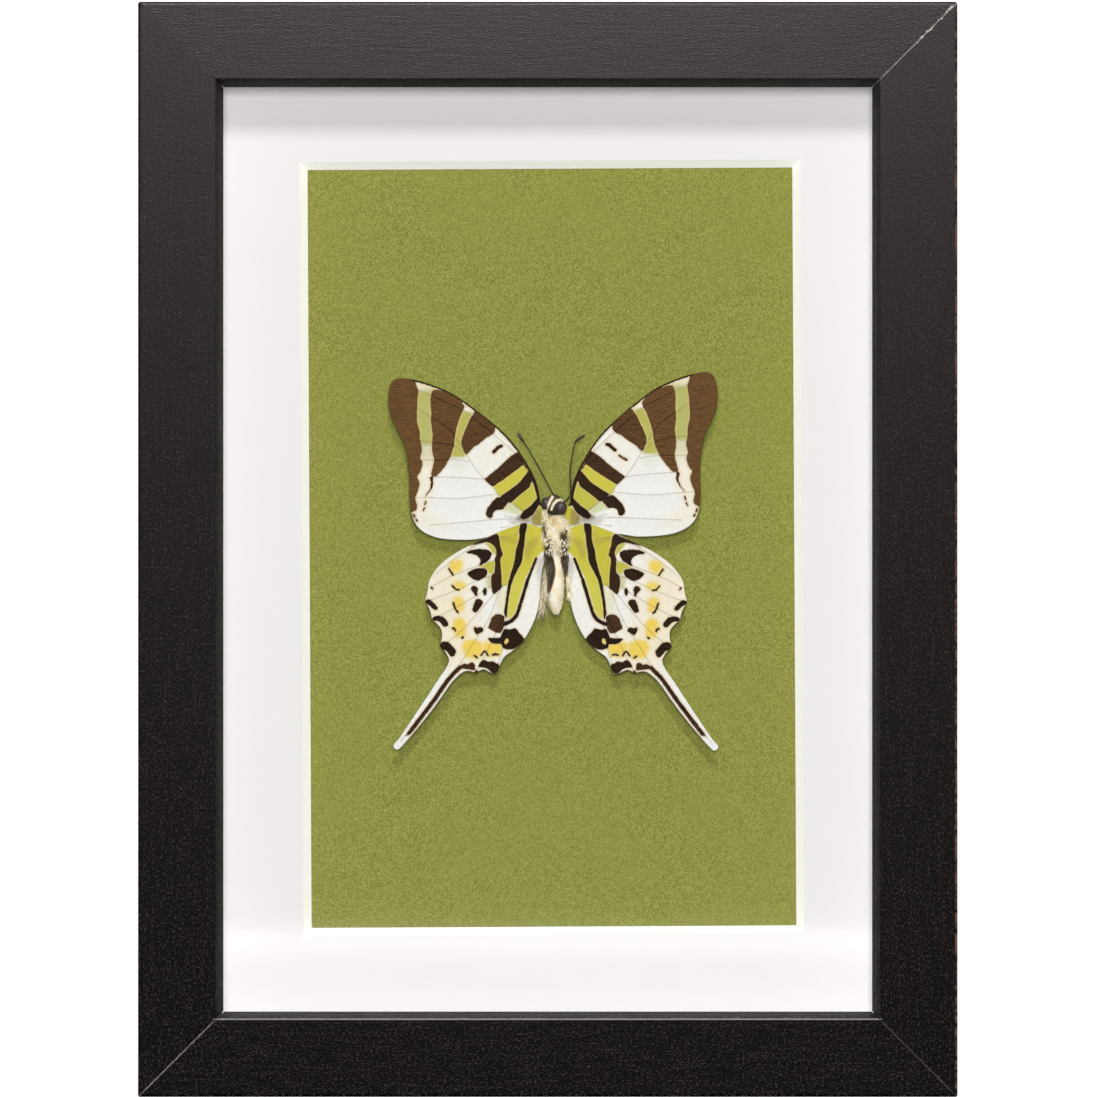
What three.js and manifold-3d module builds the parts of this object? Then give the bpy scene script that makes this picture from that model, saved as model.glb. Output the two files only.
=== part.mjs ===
// A butterfly in a black upright box frame, millimetres, +Z up.
// The frame stands on its bottom rail at Z = 0 and its glass faces -Y.
// Inside, from the front: glass, white spacers, bevel-cut mat, green card, hardboard back.
// The butterfly is fixed on a small pad in front of the card, underside to the glass.

import * as THREE from 'three';
import { mergeVertices } from 'three/addons/utils/BufferGeometryUtils.js';
import Module from 'manifold-3d';

const wasm = await Module();
wasm.setup();

// Frame
const FRAME_W = 176.2;
const FRAME_H = 235.5;
const FRAME_D = 34;
const FACE_W = 16.8;
const LIP_STEP = 0.5;
const LIP_RUN = 1.5;
const LIP_T = 5;
const WALL_T = 13.8;
const OUTER_ARRIS = 0.7;
const INNER_ARRIS = 0.4;
const MITRE_GAP = 0.15;

// Layers behind the lip, front to back
const LAYER_GAP = 0.2;
const SHEET_EDGE = 14.1;
const GLASS_T = 2;
const SPACER_D = 19.2;
const SPACER_T = 3.6;
const MAT_T = 1.75;
const CARD_T = 0.5;
const PANEL_T = 2.8;

// Window in the mat, measured at the card
const WINDOW_W = 104.7;
const WINDOW_H = 163.7;
const WINDOW_X = 0.9;
const WINDOW_Z = 118.1;
const WINDOW_TURN = THREE.MathUtils.degToRad(0.31);

// Back hardware
const TAB_W = 8;
const TAB_SHOWN = 12;
const TAB_SUNK = 5;
const TAB_T = 0.5;
const TAB_LIFT = 0.25;
const TAB_SIDE_SPREAD = 62;
const TAB_END_SPREAD = 38;
const SLOT_CLEARANCE = 0.3;
const HANGER_L = 46;
const HANGER_H = 11;
const HANGER_T = 0.65;
const HANGER_RAISE = 0.75;
const HANGER_BRIDGE = 23;
const HANGER_TEETH = 9;
const HANGER_DROP = 40;
const RIVET_SPREAD = 36;
const RIVET_SHANK = 1.2;
const RIVET_HEAD = 2.4;
const RIVET_HOLE = 1.55;

// Specimen: u to the right and v up from the middle of the thorax, seen from the front
const SPECIMEN_X = 1.77;
const SPECIMEN_Z = 121.9;
const THORAX_Y = 4.2;
const FOREWING_Y = 6.3;
const HINDWING_Y = 5.6;
const WING_T = 0.3;
const WING_TILT = THREE.MathUtils.degToRad(1.4);
const PAD_R = 1.9;
const LEG_R = 0.28;
const ANTENNA_R = 0.17;
const CLUB_R = 0.3;

// Right wings. Each list runs smoothly through its points; lists meet at corners.
const FOREWING_OUTLINE = [
  [1, 4.4], [2.9, 5.6], [3.2, 7.4], [3.9, 10.8], [5.9, 15], [9.2, 20], [13.8, 24.6],
  [20.5, 29.9], [25.5, 32.4], [29.7, 33.75], [32.4, 34.05], [33.8, 33.5], [34.6, 31.9],
  [34.9, 28.8], [34.1, 25], [32.3, 20.9], [31.3, 17], [31.05, 12], [31.2, 7.6], [30.7, 4],
  [29.6, 1.7], [27.5, 0.1], [24, -1], [18, -1.4], [13.2, -0.8], [6, -0.6], [1, -1],
];
const HINDWING_LEADING = [
  [1, 0.2], [3.4, 0.6], [6.6, 1.5], [10.5, 0.5], [15.5, -2], [21, -4.7], [25, -7.6],
  [27.3, -10.8], [27.75, -13.2], [28.3, -15.5],
];
const HINDWING_SCALLOP_1 = [[28.3, -15.5], [27.2, -17.5], [26.8, -19.3]];
const HINDWING_SCALLOP_2 = [[26.8, -19.3], [24.9, -21.2], [24.5, -23], [25, -25.2]];
const HINDWING_TAIL = [
  [25, -25.2], [23.4, -27], [23.1, -29], [25.8, -33.2], [29.6, -39], [33.6, -44.9],
  [35, -46.6], [34.5, -47.5], [33.2, -46.9], [28.4, -41.3], [24.9, -36.7], [22.3, -33],
  [20, -30.85], [18.4, -30.5], [17.1, -30.95],
];
const HINDWING_TORNUS = [
  [17.1, -30.95], [15.4, -30.15], [13.6, -30.9], [12.5, -30.9], [11.8, -29.3],
];
const HINDWING_INNER = [
  [11.8, -29.3], [10.8, -27.4], [9, -26.05], [6.6, -23.8], [4.4, -19.8], [3.2, -15.5],
  [2.7, -9], [1, -3],
];
const WING_ROOT = [3, 4];

// The left wings mirror the right ones, each set at a slightly different angle and spread.
const FOREWING_SET = {
  left: { turn: -2.5, reach: 0.2, spread: 1 },
  right: { turn: 0, reach: 0, spread: 1 },
};
const HINDWING_SET = {
  left: { turn: 0.4, reach: 0.25, spread: 0.983 },
  right: { turn: 0, reach: 0, spread: 1 },
};

// Abdomen: radius against distance behind the thorax centre
const ABDOMEN = [
  [0.01, 2.5], [1.4, 3.2], [1.45, 5], [1.35, 6.5], [1.6, 9], [1.75, 12], [1.75, 14.5],
  [1.35, 16.2], [0.7, 17.6], [0.01, 18.5],
];
const ABDOMEN_LEAN = THREE.MathUtils.degToRad(1.6);

// Each leg: hip, knee and foot on the right side, as u, y, v
const LEGS = [
  [[0.7, 1.9, 2.2], [2.3, 1.3, 1.2], [1.5, 0.9, -0.6]],
  [[0.7, 1.7, -0.2], [2.5, 1.4, -1.2], [1.9, 0.9, -2.9]],
  [[0.6, 1.8, -2.4], [2.4, 1.9, -3.4], [1.3, 1.3, -5]],
];

const ANTENNA_LEFT = [
  [-0.4, 3.4, 6.8], [-0.8, 3.2, 8], [-3.7, 3.4, 13.4], [-5.6, 3.6, 16.8], [-8.2, 3.9, 20.9],
];
const ANTENNA_RIGHT = [
  [1.3, 3.4, 5.6], [2.7, 3.1, 6.9], [3.2, 3.1, 8.8], [3.07, 3.2, 12.9], [3.9, 3.5, 17.9],
  [4.6, 3.7, 19.4], [6.1, 3.8, 20.45],
];

// Finishes, as the photograph shows them
const finish = (color, roughness, metalness = 0) =>
  new THREE.MeshStandardMaterial({ color, roughness, metalness });
const BLACK_FOIL = finish('#1d1a1b', 0.45);
const CLEAR_GLASS = finish('#e6efec', 0.05);
const WHITE_BOARD = finish('#f1efec', 0.9);
const WHITE_MAT = finish('#f4f2ef', 0.9);
const GREEN_CARD = finish('#8f9449', 0.95);
const HARDBOARD = finish('#7a5a3c', 0.85);
const BLACK_STEEL = finish('#2b2b2d', 0.4, 1);
const BRIGHT_STEEL = finish('#b9bcbd', 0.35, 1);
const FOAM = finish('#e4e0d6', 0.95);
const WING_SCALE = finish('#e9e4cf', 0.8);

// Solids

function toSolid(geometry) {
  const bare = geometry.clone();
  bare.deleteAttribute('normal');
  bare.deleteAttribute('uv');
  const merged = mergeVertices(bare, 1e-4);
  return new wasm.Manifold(new wasm.Mesh({
    numProp: 3,
    vertProperties: new Float32Array(merged.attributes.position.array),
    triVerts: new Uint32Array(merged.index.array),
  }));
}

function toGeometry(solid) {
  const { vertProperties, triVerts } = solid.getMesh();
  const geometry = new THREE.BufferGeometry();
  geometry.setAttribute('position', new THREE.BufferAttribute(vertProperties, 3));
  geometry.setIndex(new THREE.BufferAttribute(triVerts, 1));
  return geometry;
}

function cut(geometry, tools) {
  const cutSolid = (solid, tool) => solid.subtract(toSolid(tool));
  return toGeometry(tools.reduce(cutSolid, toSolid(geometry)));
}

function fuse(geometries) {
  return toGeometry(geometries.map(toSolid).reduce((all, next) => all.add(next)));
}

function box(width, depth, height, x, y, z) {
  return new THREE.BoxGeometry(width, depth, height).translate(x, y, z);
}

// A closed outline in the X-Z plane, thickened from y to y + depth.
function plate(shape, y, depth, curveSegments = 3) {
  const geometry = new THREE.ExtrudeGeometry(shape, { depth, curveSegments, bevelEnabled: false });
  return geometry.rotateX(Math.PI / 2).translate(0, y + depth, 0);
}

function rectangle(width, height) {
  const shape = new THREE.Shape();
  shape.moveTo(-width / 2, -height / 2);
  shape.lineTo(width / 2, -height / 2);
  shape.lineTo(width / 2, height / 2);
  shape.lineTo(-width / 2, height / 2);
  shape.closePath();
  return shape;
}

const group = new THREE.Group();

function piece(name, geometry, material, parent = group) {
  const mesh = new THREE.Mesh(geometry, material);
  mesh.name = name;
  parent.add(mesh);
  return mesh;
}

// Places along Y, front to back

const FRONT = -FRAME_D / 2;
const BACK = FRAME_D / 2;
const GLASS_Y = FRONT + LIP_T + LAYER_GAP;
const SPACER_Y = GLASS_Y + GLASS_T + LAYER_GAP;
const MAT_Y = SPACER_Y + SPACER_D + LAYER_GAP;
const CARD_Y = MAT_Y + MAT_T + LAYER_GAP;
const PANEL_Y = CARD_Y + CARD_T + LAYER_GAP;
const PANEL_BACK = PANEL_Y + PANEL_T;
const TAB_Y = PANEL_BACK + TAB_LIFT;
const SHEET_W = FRAME_W - 2 * SHEET_EDGE;
const SHEET_H = FRAME_H - 2 * SHEET_EDGE;
const MID_Z = FRAME_H / 2;

// Rails: an L section with a flat face, rounded arrises and a lip that slopes in to the glass

function railSection() {
  const lipBack = FRONT + LIP_T;
  const section = new THREE.Shape();
  section.moveTo(BACK, 0);
  section.lineTo(FRONT + OUTER_ARRIS, 0);
  section.absarc(FRONT + OUTER_ARRIS, OUTER_ARRIS, OUTER_ARRIS, -Math.PI / 2, -Math.PI, true);
  section.lineTo(FRONT, FACE_W - INNER_ARRIS);
  section.absarc(FRONT + INNER_ARRIS, FACE_W - INNER_ARRIS, INNER_ARRIS, Math.PI, Math.PI / 2, true);
  section.lineTo(FRONT + 1.6, FACE_W + LIP_STEP);
  section.lineTo(lipBack, FACE_W + LIP_RUN);
  section.lineTo(lipBack, WALL_T);
  section.lineTo(BACK, WALL_T);
  section.closePath();
  return section;
}

// A rail along X with its outer face down on Z = 0 and both ends cut at 45 degrees.
function rail(length, slotCentres) {
  const options = { depth: 1, curveSegments: 4, bevelEnabled: false };
  const geometry = new THREE.ExtrudeGeometry(railSection(), options);
  const at = geometry.attributes.position;
  for (let i = 0; i < at.count; i += 1) {
    const depth = at.getX(i);
    const inward = at.getY(i);
    const halfLength = length / 2 - inward - MITRE_GAP;
    const along = (at.getZ(i) - 0.5) * 2 * halfLength;
    at.setXYZ(i, along, depth, inward);
  }
  const slotDepth = TAB_SUNK + 1;
  const slots = slotCentres.map((x) => box(
    TAB_W + 2 * SLOT_CLEARANCE,
    TAB_T + 2 * SLOT_CLEARANCE,
    2 * slotDepth,
    x,
    TAB_Y + TAB_T / 2,
    WALL_T,
  ));
  return cut(geometry, slots);
}

// The four sides of the frame: which way each faces and where its outer face lies.
const SIDES = {
  bottom: { length: FRAME_W, turn: 0, reach: MID_Z, spread: TAB_END_SPREAD },
  right: { length: FRAME_H, turn: -Math.PI / 2, reach: FRAME_W / 2, spread: TAB_SIDE_SPREAD },
  top: { length: FRAME_W, turn: Math.PI, reach: MID_Z, spread: TAB_END_SPREAD },
  left: { length: FRAME_H, turn: Math.PI / 2, reach: FRAME_W / 2, spread: TAB_SIDE_SPREAD },
};

// A tab seen from behind: a point that sinks into the rail and a round free end.
function tab() {
  const half = TAB_W / 2;
  const roundCentre = TAB_SHOWN - half;
  const shape = new THREE.Shape();
  shape.moveTo(0, -TAB_SUNK);
  shape.lineTo(half, -TAB_SUNK + half);
  shape.lineTo(half, roundCentre);
  shape.absarc(0, roundCentre, half, 0, Math.PI, false);
  shape.lineTo(-half, -TAB_SUNK + half);
  shape.closePath();
  return plate(shape, 0, TAB_T, 8);
}

const TAB_PLACES = {
  bottom: ['left', 'right'],
  right: ['lower', 'upper'],
  top: ['right', 'left'],
  left: ['upper', 'lower'],
};

for (const [side, { length, turn, reach, spread }] of Object.entries(SIDES)) {
  const sideGroup = new THREE.Group();
  sideGroup.position.set(0, 0, MID_Z);
  sideGroup.rotation.y = turn;
  group.add(sideGroup);
  const places = [-spread, spread];
  const mesh = piece(`rail_${side}`, rail(length, places), BLACK_FOIL, sideGroup);
  mesh.position.z = -reach;
  places.forEach((x, i) => {
    const tabMesh = piece(`tab_${side}_${TAB_PLACES[side][i]}`, tab(), BLACK_STEEL, sideGroup);
    tabMesh.position.set(x, TAB_Y, -reach + WALL_T);
  });
}

// Glass and spacers

piece('glass', box(SHEET_W, GLASS_T, SHEET_H, 0, GLASS_Y + GLASS_T / 2, MID_Z), CLEAR_GLASS);

const SPACER_MID = SPACER_Y + SPACER_D / 2;
const SPACER_OUT_X = SHEET_W / 2 - SPACER_T / 2;
const SPACER_OUT_Z = SHEET_H / 2 - SPACER_T / 2;
const SPACER_SIDE_H = SHEET_H - 2 * SPACER_T - 2 * LAYER_GAP;
for (const [name, sign] of [['bottom', -1], ['top', 1]]) {
  const z = MID_Z + sign * SPACER_OUT_Z;
  piece(`spacer_${name}`, box(SHEET_W, SPACER_D, SPACER_T, 0, SPACER_MID, z), WHITE_BOARD);
}
for (const [name, sign] of [['left', -1], ['right', 1]]) {
  const x = sign * SPACER_OUT_X;
  const strip = box(SPACER_T, SPACER_D, SPACER_SIDE_H, x, SPACER_MID, MID_Z);
  piece(`spacer_${name}`, strip, WHITE_BOARD);
}

// Mat: the window widens towards the front by the thickness of the board

function windowCutter() {
  const spare = 1;
  const depth = MAT_T + 2 * spare;
  const cutter = plate(rectangle(WINDOW_W, WINDOW_H), MAT_Y - spare, depth);
  const at = cutter.attributes.position;
  for (let i = 0; i < at.count; i += 1) {
    const widen = MAT_Y + MAT_T - at.getY(i);
    at.setX(i, at.getX(i) + Math.sign(at.getX(i)) * widen);
    at.setZ(i, at.getZ(i) + Math.sign(at.getZ(i)) * widen);
  }
  return cutter.rotateY(-WINDOW_TURN).translate(WINDOW_X, 0, WINDOW_Z);
}

const board = box(SHEET_W, MAT_T, SHEET_H, 0, MAT_Y + MAT_T / 2, MID_Z);
piece('mat', cut(board, [windowCutter()]), WHITE_MAT);

piece('backing_card', box(SHEET_W, CARD_T, SHEET_H, 0, CARD_Y + CARD_T / 2, MID_Z), GREEN_CARD);

// Hardboard back with blind holes for the rivets of the hanger

const HANGER_Z = FRAME_H - HANGER_DROP;
const RIVET_TIP_Y = PANEL_BACK - 1.8;
const HANGER_Y = PANEL_BACK + LAYER_GAP;

function rivetHole(x) {
  const bottom = RIVET_TIP_Y - SLOT_CLEARANCE;
  const length = BACK - bottom;
  const hole = new THREE.CylinderGeometry(RIVET_HOLE, RIVET_HOLE, length, 16);
  return hole.translate(x, bottom + length / 2, HANGER_Z);
}

const rivetHoles = [-RIVET_SPREAD / 2, RIVET_SPREAD / 2].map(rivetHole);
const sheet = box(SHEET_W, PANEL_T, SHEET_H, 0, PANEL_Y + PANEL_T / 2, MID_Z);
piece('back_panel', cut(sheet, rivetHoles), HARDBOARD);

// Hanger: a strip raised in the middle, with teeth along the lower edge of the bridge

function hangerStrip() {
  const half = HANGER_L / 2;
  const bend = HANGER_BRIDGE / 2;
  const ramp = 1.5;
  const shape = new THREE.Shape();
  shape.moveTo(-half, 0);
  shape.lineTo(-bend - ramp, 0);
  shape.lineTo(-bend, HANGER_RAISE);
  shape.lineTo(bend, HANGER_RAISE);
  shape.lineTo(bend + ramp, 0);
  shape.lineTo(half, 0);
  shape.lineTo(half, HANGER_T);
  shape.lineTo(bend + ramp + 0.3, HANGER_T);
  shape.lineTo(bend + 0.3, HANGER_RAISE + HANGER_T);
  shape.lineTo(-bend - 0.3, HANGER_RAISE + HANGER_T);
  shape.lineTo(-bend - ramp - 0.3, HANGER_T);
  shape.lineTo(-half, HANGER_T);
  shape.closePath();
  const strip = new THREE.ExtrudeGeometry(shape, { depth: HANGER_H, bevelEnabled: false });
  return strip.translate(0, HANGER_Y, HANGER_Z - HANGER_H / 2);
}

function hangerTeeth() {
  const pitch = HANGER_BRIDGE / HANGER_TEETH;
  const shape = new THREE.Shape();
  shape.moveTo(-HANGER_BRIDGE / 2, -HANGER_H);
  for (let i = 0; i < HANGER_TEETH; i += 1) {
    const start = -HANGER_BRIDGE / 2 + i * pitch;
    shape.lineTo(start, -HANGER_H / 2 + 2.2);
    shape.lineTo(start + pitch / 2, -HANGER_H / 2 + 4.4);
  }
  shape.lineTo(HANGER_BRIDGE / 2, -HANGER_H / 2 + 2.2);
  shape.lineTo(HANGER_BRIDGE / 2, -HANGER_H);
  shape.closePath();
  return plate(shape, HANGER_Y - 1, 4).translate(0, 0, HANGER_Z);
}

piece('hanger', cut(hangerStrip(), [hangerTeeth(), ...rivetHoles]), BRIGHT_STEEL);

function rivet() {
  const headY = HANGER_Y + HANGER_T + LAYER_GAP - RIVET_TIP_Y;
  const dome = 0.55;
  const profile = [
    [0, 0], [RIVET_SHANK, 0], [RIVET_SHANK, headY], [RIVET_HEAD, headY],
    [RIVET_HEAD * 0.92, headY + dome * 0.45], [RIVET_HEAD * 0.6, headY + dome * 0.85],
    [0, headY + dome],
  ];
  return new THREE.LatheGeometry(profile.map(([r, y]) => new THREE.Vector2(r, y)), 20);
}

for (const [name, sign] of [['left', -1], ['right', 1]]) {
  const mesh = piece(`rivet_${name}`, rivet(), BRIGHT_STEEL);
  mesh.position.set(sign * RIVET_SPREAD / 2, RIVET_TIP_Y, HANGER_Z);
}

// Butterfly

function posed([u, v], side, { turn, reach, spread }) {
  const angle = THREE.MathUtils.degToRad(turn);
  const du = (u - WING_ROOT[0]) * spread;
  const dv = v - WING_ROOT[1];
  const out = WING_ROOT[0] + du * Math.cos(angle) - dv * Math.sin(angle) + reach;
  const up = WING_ROOT[1] + du * Math.sin(angle) + dv * Math.cos(angle);
  return new THREE.Vector2(side === 'left' ? -out : out, up);
}

// A wing: stretches of outline joined at their corners, thickened and tipped towards the front.
function wing(stretches, y, side, set) {
  const shape = new THREE.Shape();
  const lists = stretches.map((list) => list.map((p) => posed(p, side, set[side])));
  shape.moveTo(lists[0][0].x, lists[0][0].y);
  for (const list of lists) {
    shape.splineThru(list.slice(1));
  }
  shape.closePath();
  const blade = plate(shape, -WING_T / 2, WING_T, 2);
  return blade.rotateZ(side === 'left' ? WING_TILT : -WING_TILT).translate(0, y, 0);
}

const HINDWING = [
  HINDWING_LEADING, HINDWING_SCALLOP_1, HINDWING_SCALLOP_2,
  HINDWING_TAIL, HINDWING_TORNUS, HINDWING_INNER,
];

function wings() {
  return ['left', 'right'].flatMap((side) => [
    wing([FOREWING_OUTLINE], FOREWING_Y, side, FOREWING_SET),
    wing(HINDWING, HINDWING_Y, side, HINDWING_SET),
  ]);
}

function blob(rx, ry, rz, u, y, v, rings = 12) {
  const sphere = new THREE.SphereGeometry(1, rings * 2, rings).rotateX(Math.PI / 2);
  return sphere.scale(rx, ry, rz).translate(u, y, v);
}

function abdomen() {
  const profile = ABDOMEN.map(([r, back]) => new THREE.Vector2(r < 0.02 ? 0 : r, -back)).reverse();
  const spindle = new THREE.LatheGeometry(profile, 20).rotateX(Math.PI / 2);
  return spindle.rotateY(ABDOMEN_LEAN).translate(0.2, THORAX_Y, 0);
}

function limb(points, radius, sides, steps) {
  const route = new THREE.CatmullRomCurve3(points.map((p) => new THREE.Vector3(...p)));
  const ring = new THREE.Shape();
  ring.absarc(0, 0, radius, 0, 2 * Math.PI, false);
  const options = { steps, curveSegments: sides, extrudePath: route, bevelEnabled: false };
  return new THREE.ExtrudeGeometry(ring, options);
}

function legs() {
  return [-1, 1].flatMap((sign) => LEGS.map((leg) =>
    limb(leg.map(([u, y, v]) => [sign * u, y, v]), LEG_R, 6, 6)));
}

// A thread-like antenna with a longer, thicker club at its tip.
function antenna(points) {
  const tip = new THREE.Vector3(...points.at(-1));
  const before = new THREE.Vector3(...points.at(-2));
  const aim = tip.clone().sub(before).normalize();
  const club = new THREE.CapsuleGeometry(CLUB_R, 1.6, 4, 8);
  club.applyQuaternion(new THREE.Quaternion().setFromUnitVectors(new THREE.Vector3(0, 1, 0), aim));
  club.translate(...tip.addScaledVector(aim, -0.9));
  return [limb(points, ANTENNA_R, 6, 14), club];
}

function butterfly() {
  const thorax = blob(2.75, 3, 4.6, 0.05, THORAX_Y, -0.9, 13);
  const head = blob(2.1, 1.9, 2.1, -0.4, THORAX_Y - 0.7, 5.3);
  const rightEye = blob(1.4, 1.3, 1.45, 1, THORAX_Y - 1.4, 4.7, 9);
  const leftEye = blob(1.1, 1.3, 1.4, -2.2, THORAX_Y - 1.1, 5.7, 9);
  const palps = [-1.5, -0.4].map((u) => blob(0.45, 0.6, 1.4, u, THORAX_Y - 2.3, 5, 7));
  return fuse([
    thorax, head, rightEye, leftEye, ...palps, abdomen(), ...legs(),
    ...antenna(ANTENNA_LEFT), ...antenna(ANTENNA_RIGHT), ...wings(),
  ]);
}

const specimen = piece('butterfly', butterfly(), WING_SCALE);
specimen.position.set(SPECIMEN_X, 0, SPECIMEN_Z);

// Pad between the card and the back of the thorax

const PAD_FRONT = THORAX_Y + 3 + SLOT_CLEARANCE;
const PAD_L = CARD_Y - LAYER_GAP - PAD_FRONT;
const pad = piece('mounting_pad', new THREE.CylinderGeometry(PAD_R, PAD_R, PAD_L, 20), FOAM);
pad.position.set(SPECIMEN_X, PAD_FRONT + PAD_L / 2, SPECIMEN_Z - 1);

export default group;
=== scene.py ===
import bpy
import math
import numpy as np
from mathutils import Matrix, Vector, geometry


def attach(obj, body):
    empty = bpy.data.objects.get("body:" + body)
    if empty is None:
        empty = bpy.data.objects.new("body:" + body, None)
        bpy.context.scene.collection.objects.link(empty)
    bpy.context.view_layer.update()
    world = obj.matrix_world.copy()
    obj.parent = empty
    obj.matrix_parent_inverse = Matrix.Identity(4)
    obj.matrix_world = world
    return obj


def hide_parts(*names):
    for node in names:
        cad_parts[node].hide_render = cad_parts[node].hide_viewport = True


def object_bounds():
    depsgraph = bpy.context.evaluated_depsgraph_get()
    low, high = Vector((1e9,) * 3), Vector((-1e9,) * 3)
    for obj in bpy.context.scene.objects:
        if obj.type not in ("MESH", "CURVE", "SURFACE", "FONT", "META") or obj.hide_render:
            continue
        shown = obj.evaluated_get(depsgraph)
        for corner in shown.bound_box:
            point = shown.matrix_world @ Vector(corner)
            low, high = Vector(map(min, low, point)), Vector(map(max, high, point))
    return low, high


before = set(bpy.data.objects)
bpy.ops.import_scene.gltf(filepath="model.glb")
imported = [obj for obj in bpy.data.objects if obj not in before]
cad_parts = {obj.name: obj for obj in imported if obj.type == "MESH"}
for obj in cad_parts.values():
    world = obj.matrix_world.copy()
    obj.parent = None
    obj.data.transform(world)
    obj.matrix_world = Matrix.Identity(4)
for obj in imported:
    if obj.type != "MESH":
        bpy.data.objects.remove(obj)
CAD_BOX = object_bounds()

# Lengths are in millimetres in the frame of the CAD; MM turns them into metres.
MM = 0.001
FRAME_W, FRAME_D, FRAME_H = (CAD_BOX[1] - CAD_BOX[0]) / MM
FRAME_FRONT = CAD_BOX[0].y / MM
MID_Z = FRAME_H / 2

# The photograph looks straight at the frame from far away.
PHOTO_PIXELS = 1097
PIXEL = 0.215
PHOTO_CENTRE = (0.16, 117.93)
CAMERA_AWAY = 6000

# Specimen: u to the right and v up from the middle of the thorax
SPECIMEN = np.array((1.77, 0.0, 121.9))
FOREWING_Y = 6.3
HINDWING_Y = 5.6
WING_TILT = math.radians(1.4)
WING_ROOT = np.array((3.0, 4.0))
SIDES = {"left": -1, "right": 1}

FOREWING_SET = {"left": (-2.5, 0.2, 1.0), "right": (0.0, 0.0, 1.0)}
HINDWING_SET = {"left": (0.4, 0.25, 0.983), "right": (0.0, 0.0, 1.0)}

# Outlines of the right wings: smooth stretches that meet at corners
FOREWING_OUTLINE = [[
    (1, 4.4), (2.9, 5.6), (3.2, 7.4), (3.9, 10.8), (5.9, 15), (9.2, 20), (13.8, 24.6),
    (20.5, 29.9), (25.5, 32.4), (29.7, 33.75), (32.4, 34.05), (33.8, 33.5), (34.6, 31.9),
    (34.9, 28.8), (34.1, 25), (32.3, 20.9), (31.3, 17), (31.05, 12), (31.2, 7.6), (30.7, 4),
    (29.6, 1.7), (27.5, 0.1), (24, -1), (18, -1.4), (13.2, -0.8), (6, -0.6), (1, -1),
]]
HINDWING_OUTLINE = [
    [(1, 0.2), (3.4, 0.6), (6.6, 1.5), (10.5, 0.5), (15.5, -2), (21, -4.7), (25, -7.6),
     (27.3, -10.8), (27.75, -13.2), (28.3, -15.5)],
    [(28.3, -15.5), (27.2, -17.5), (26.8, -19.3)],
    [(26.8, -19.3), (24.9, -21.2), (24.5, -23), (25, -25.2)],
    [(25, -25.2), (23.4, -27), (23.1, -29), (25.8, -33.2), (29.6, -39), (33.6, -44.9),
     (35, -46.6), (34.5, -47.5), (33.2, -46.9), (28.4, -41.3), (24.9, -36.7), (22.3, -33),
     (20, -30.85), (18.4, -30.5), (17.1, -30.95)],
    [(17.1, -30.95), (15.4, -30.15), (13.6, -30.9), (12.5, -30.9), (11.8, -29.3)],
    [(11.8, -29.3), (10.8, -27.4), (9, -26.05), (6.6, -23.8), (4.4, -19.8), (3.2, -15.5),
     (2.7, -9), (1, -3)],
]

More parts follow.
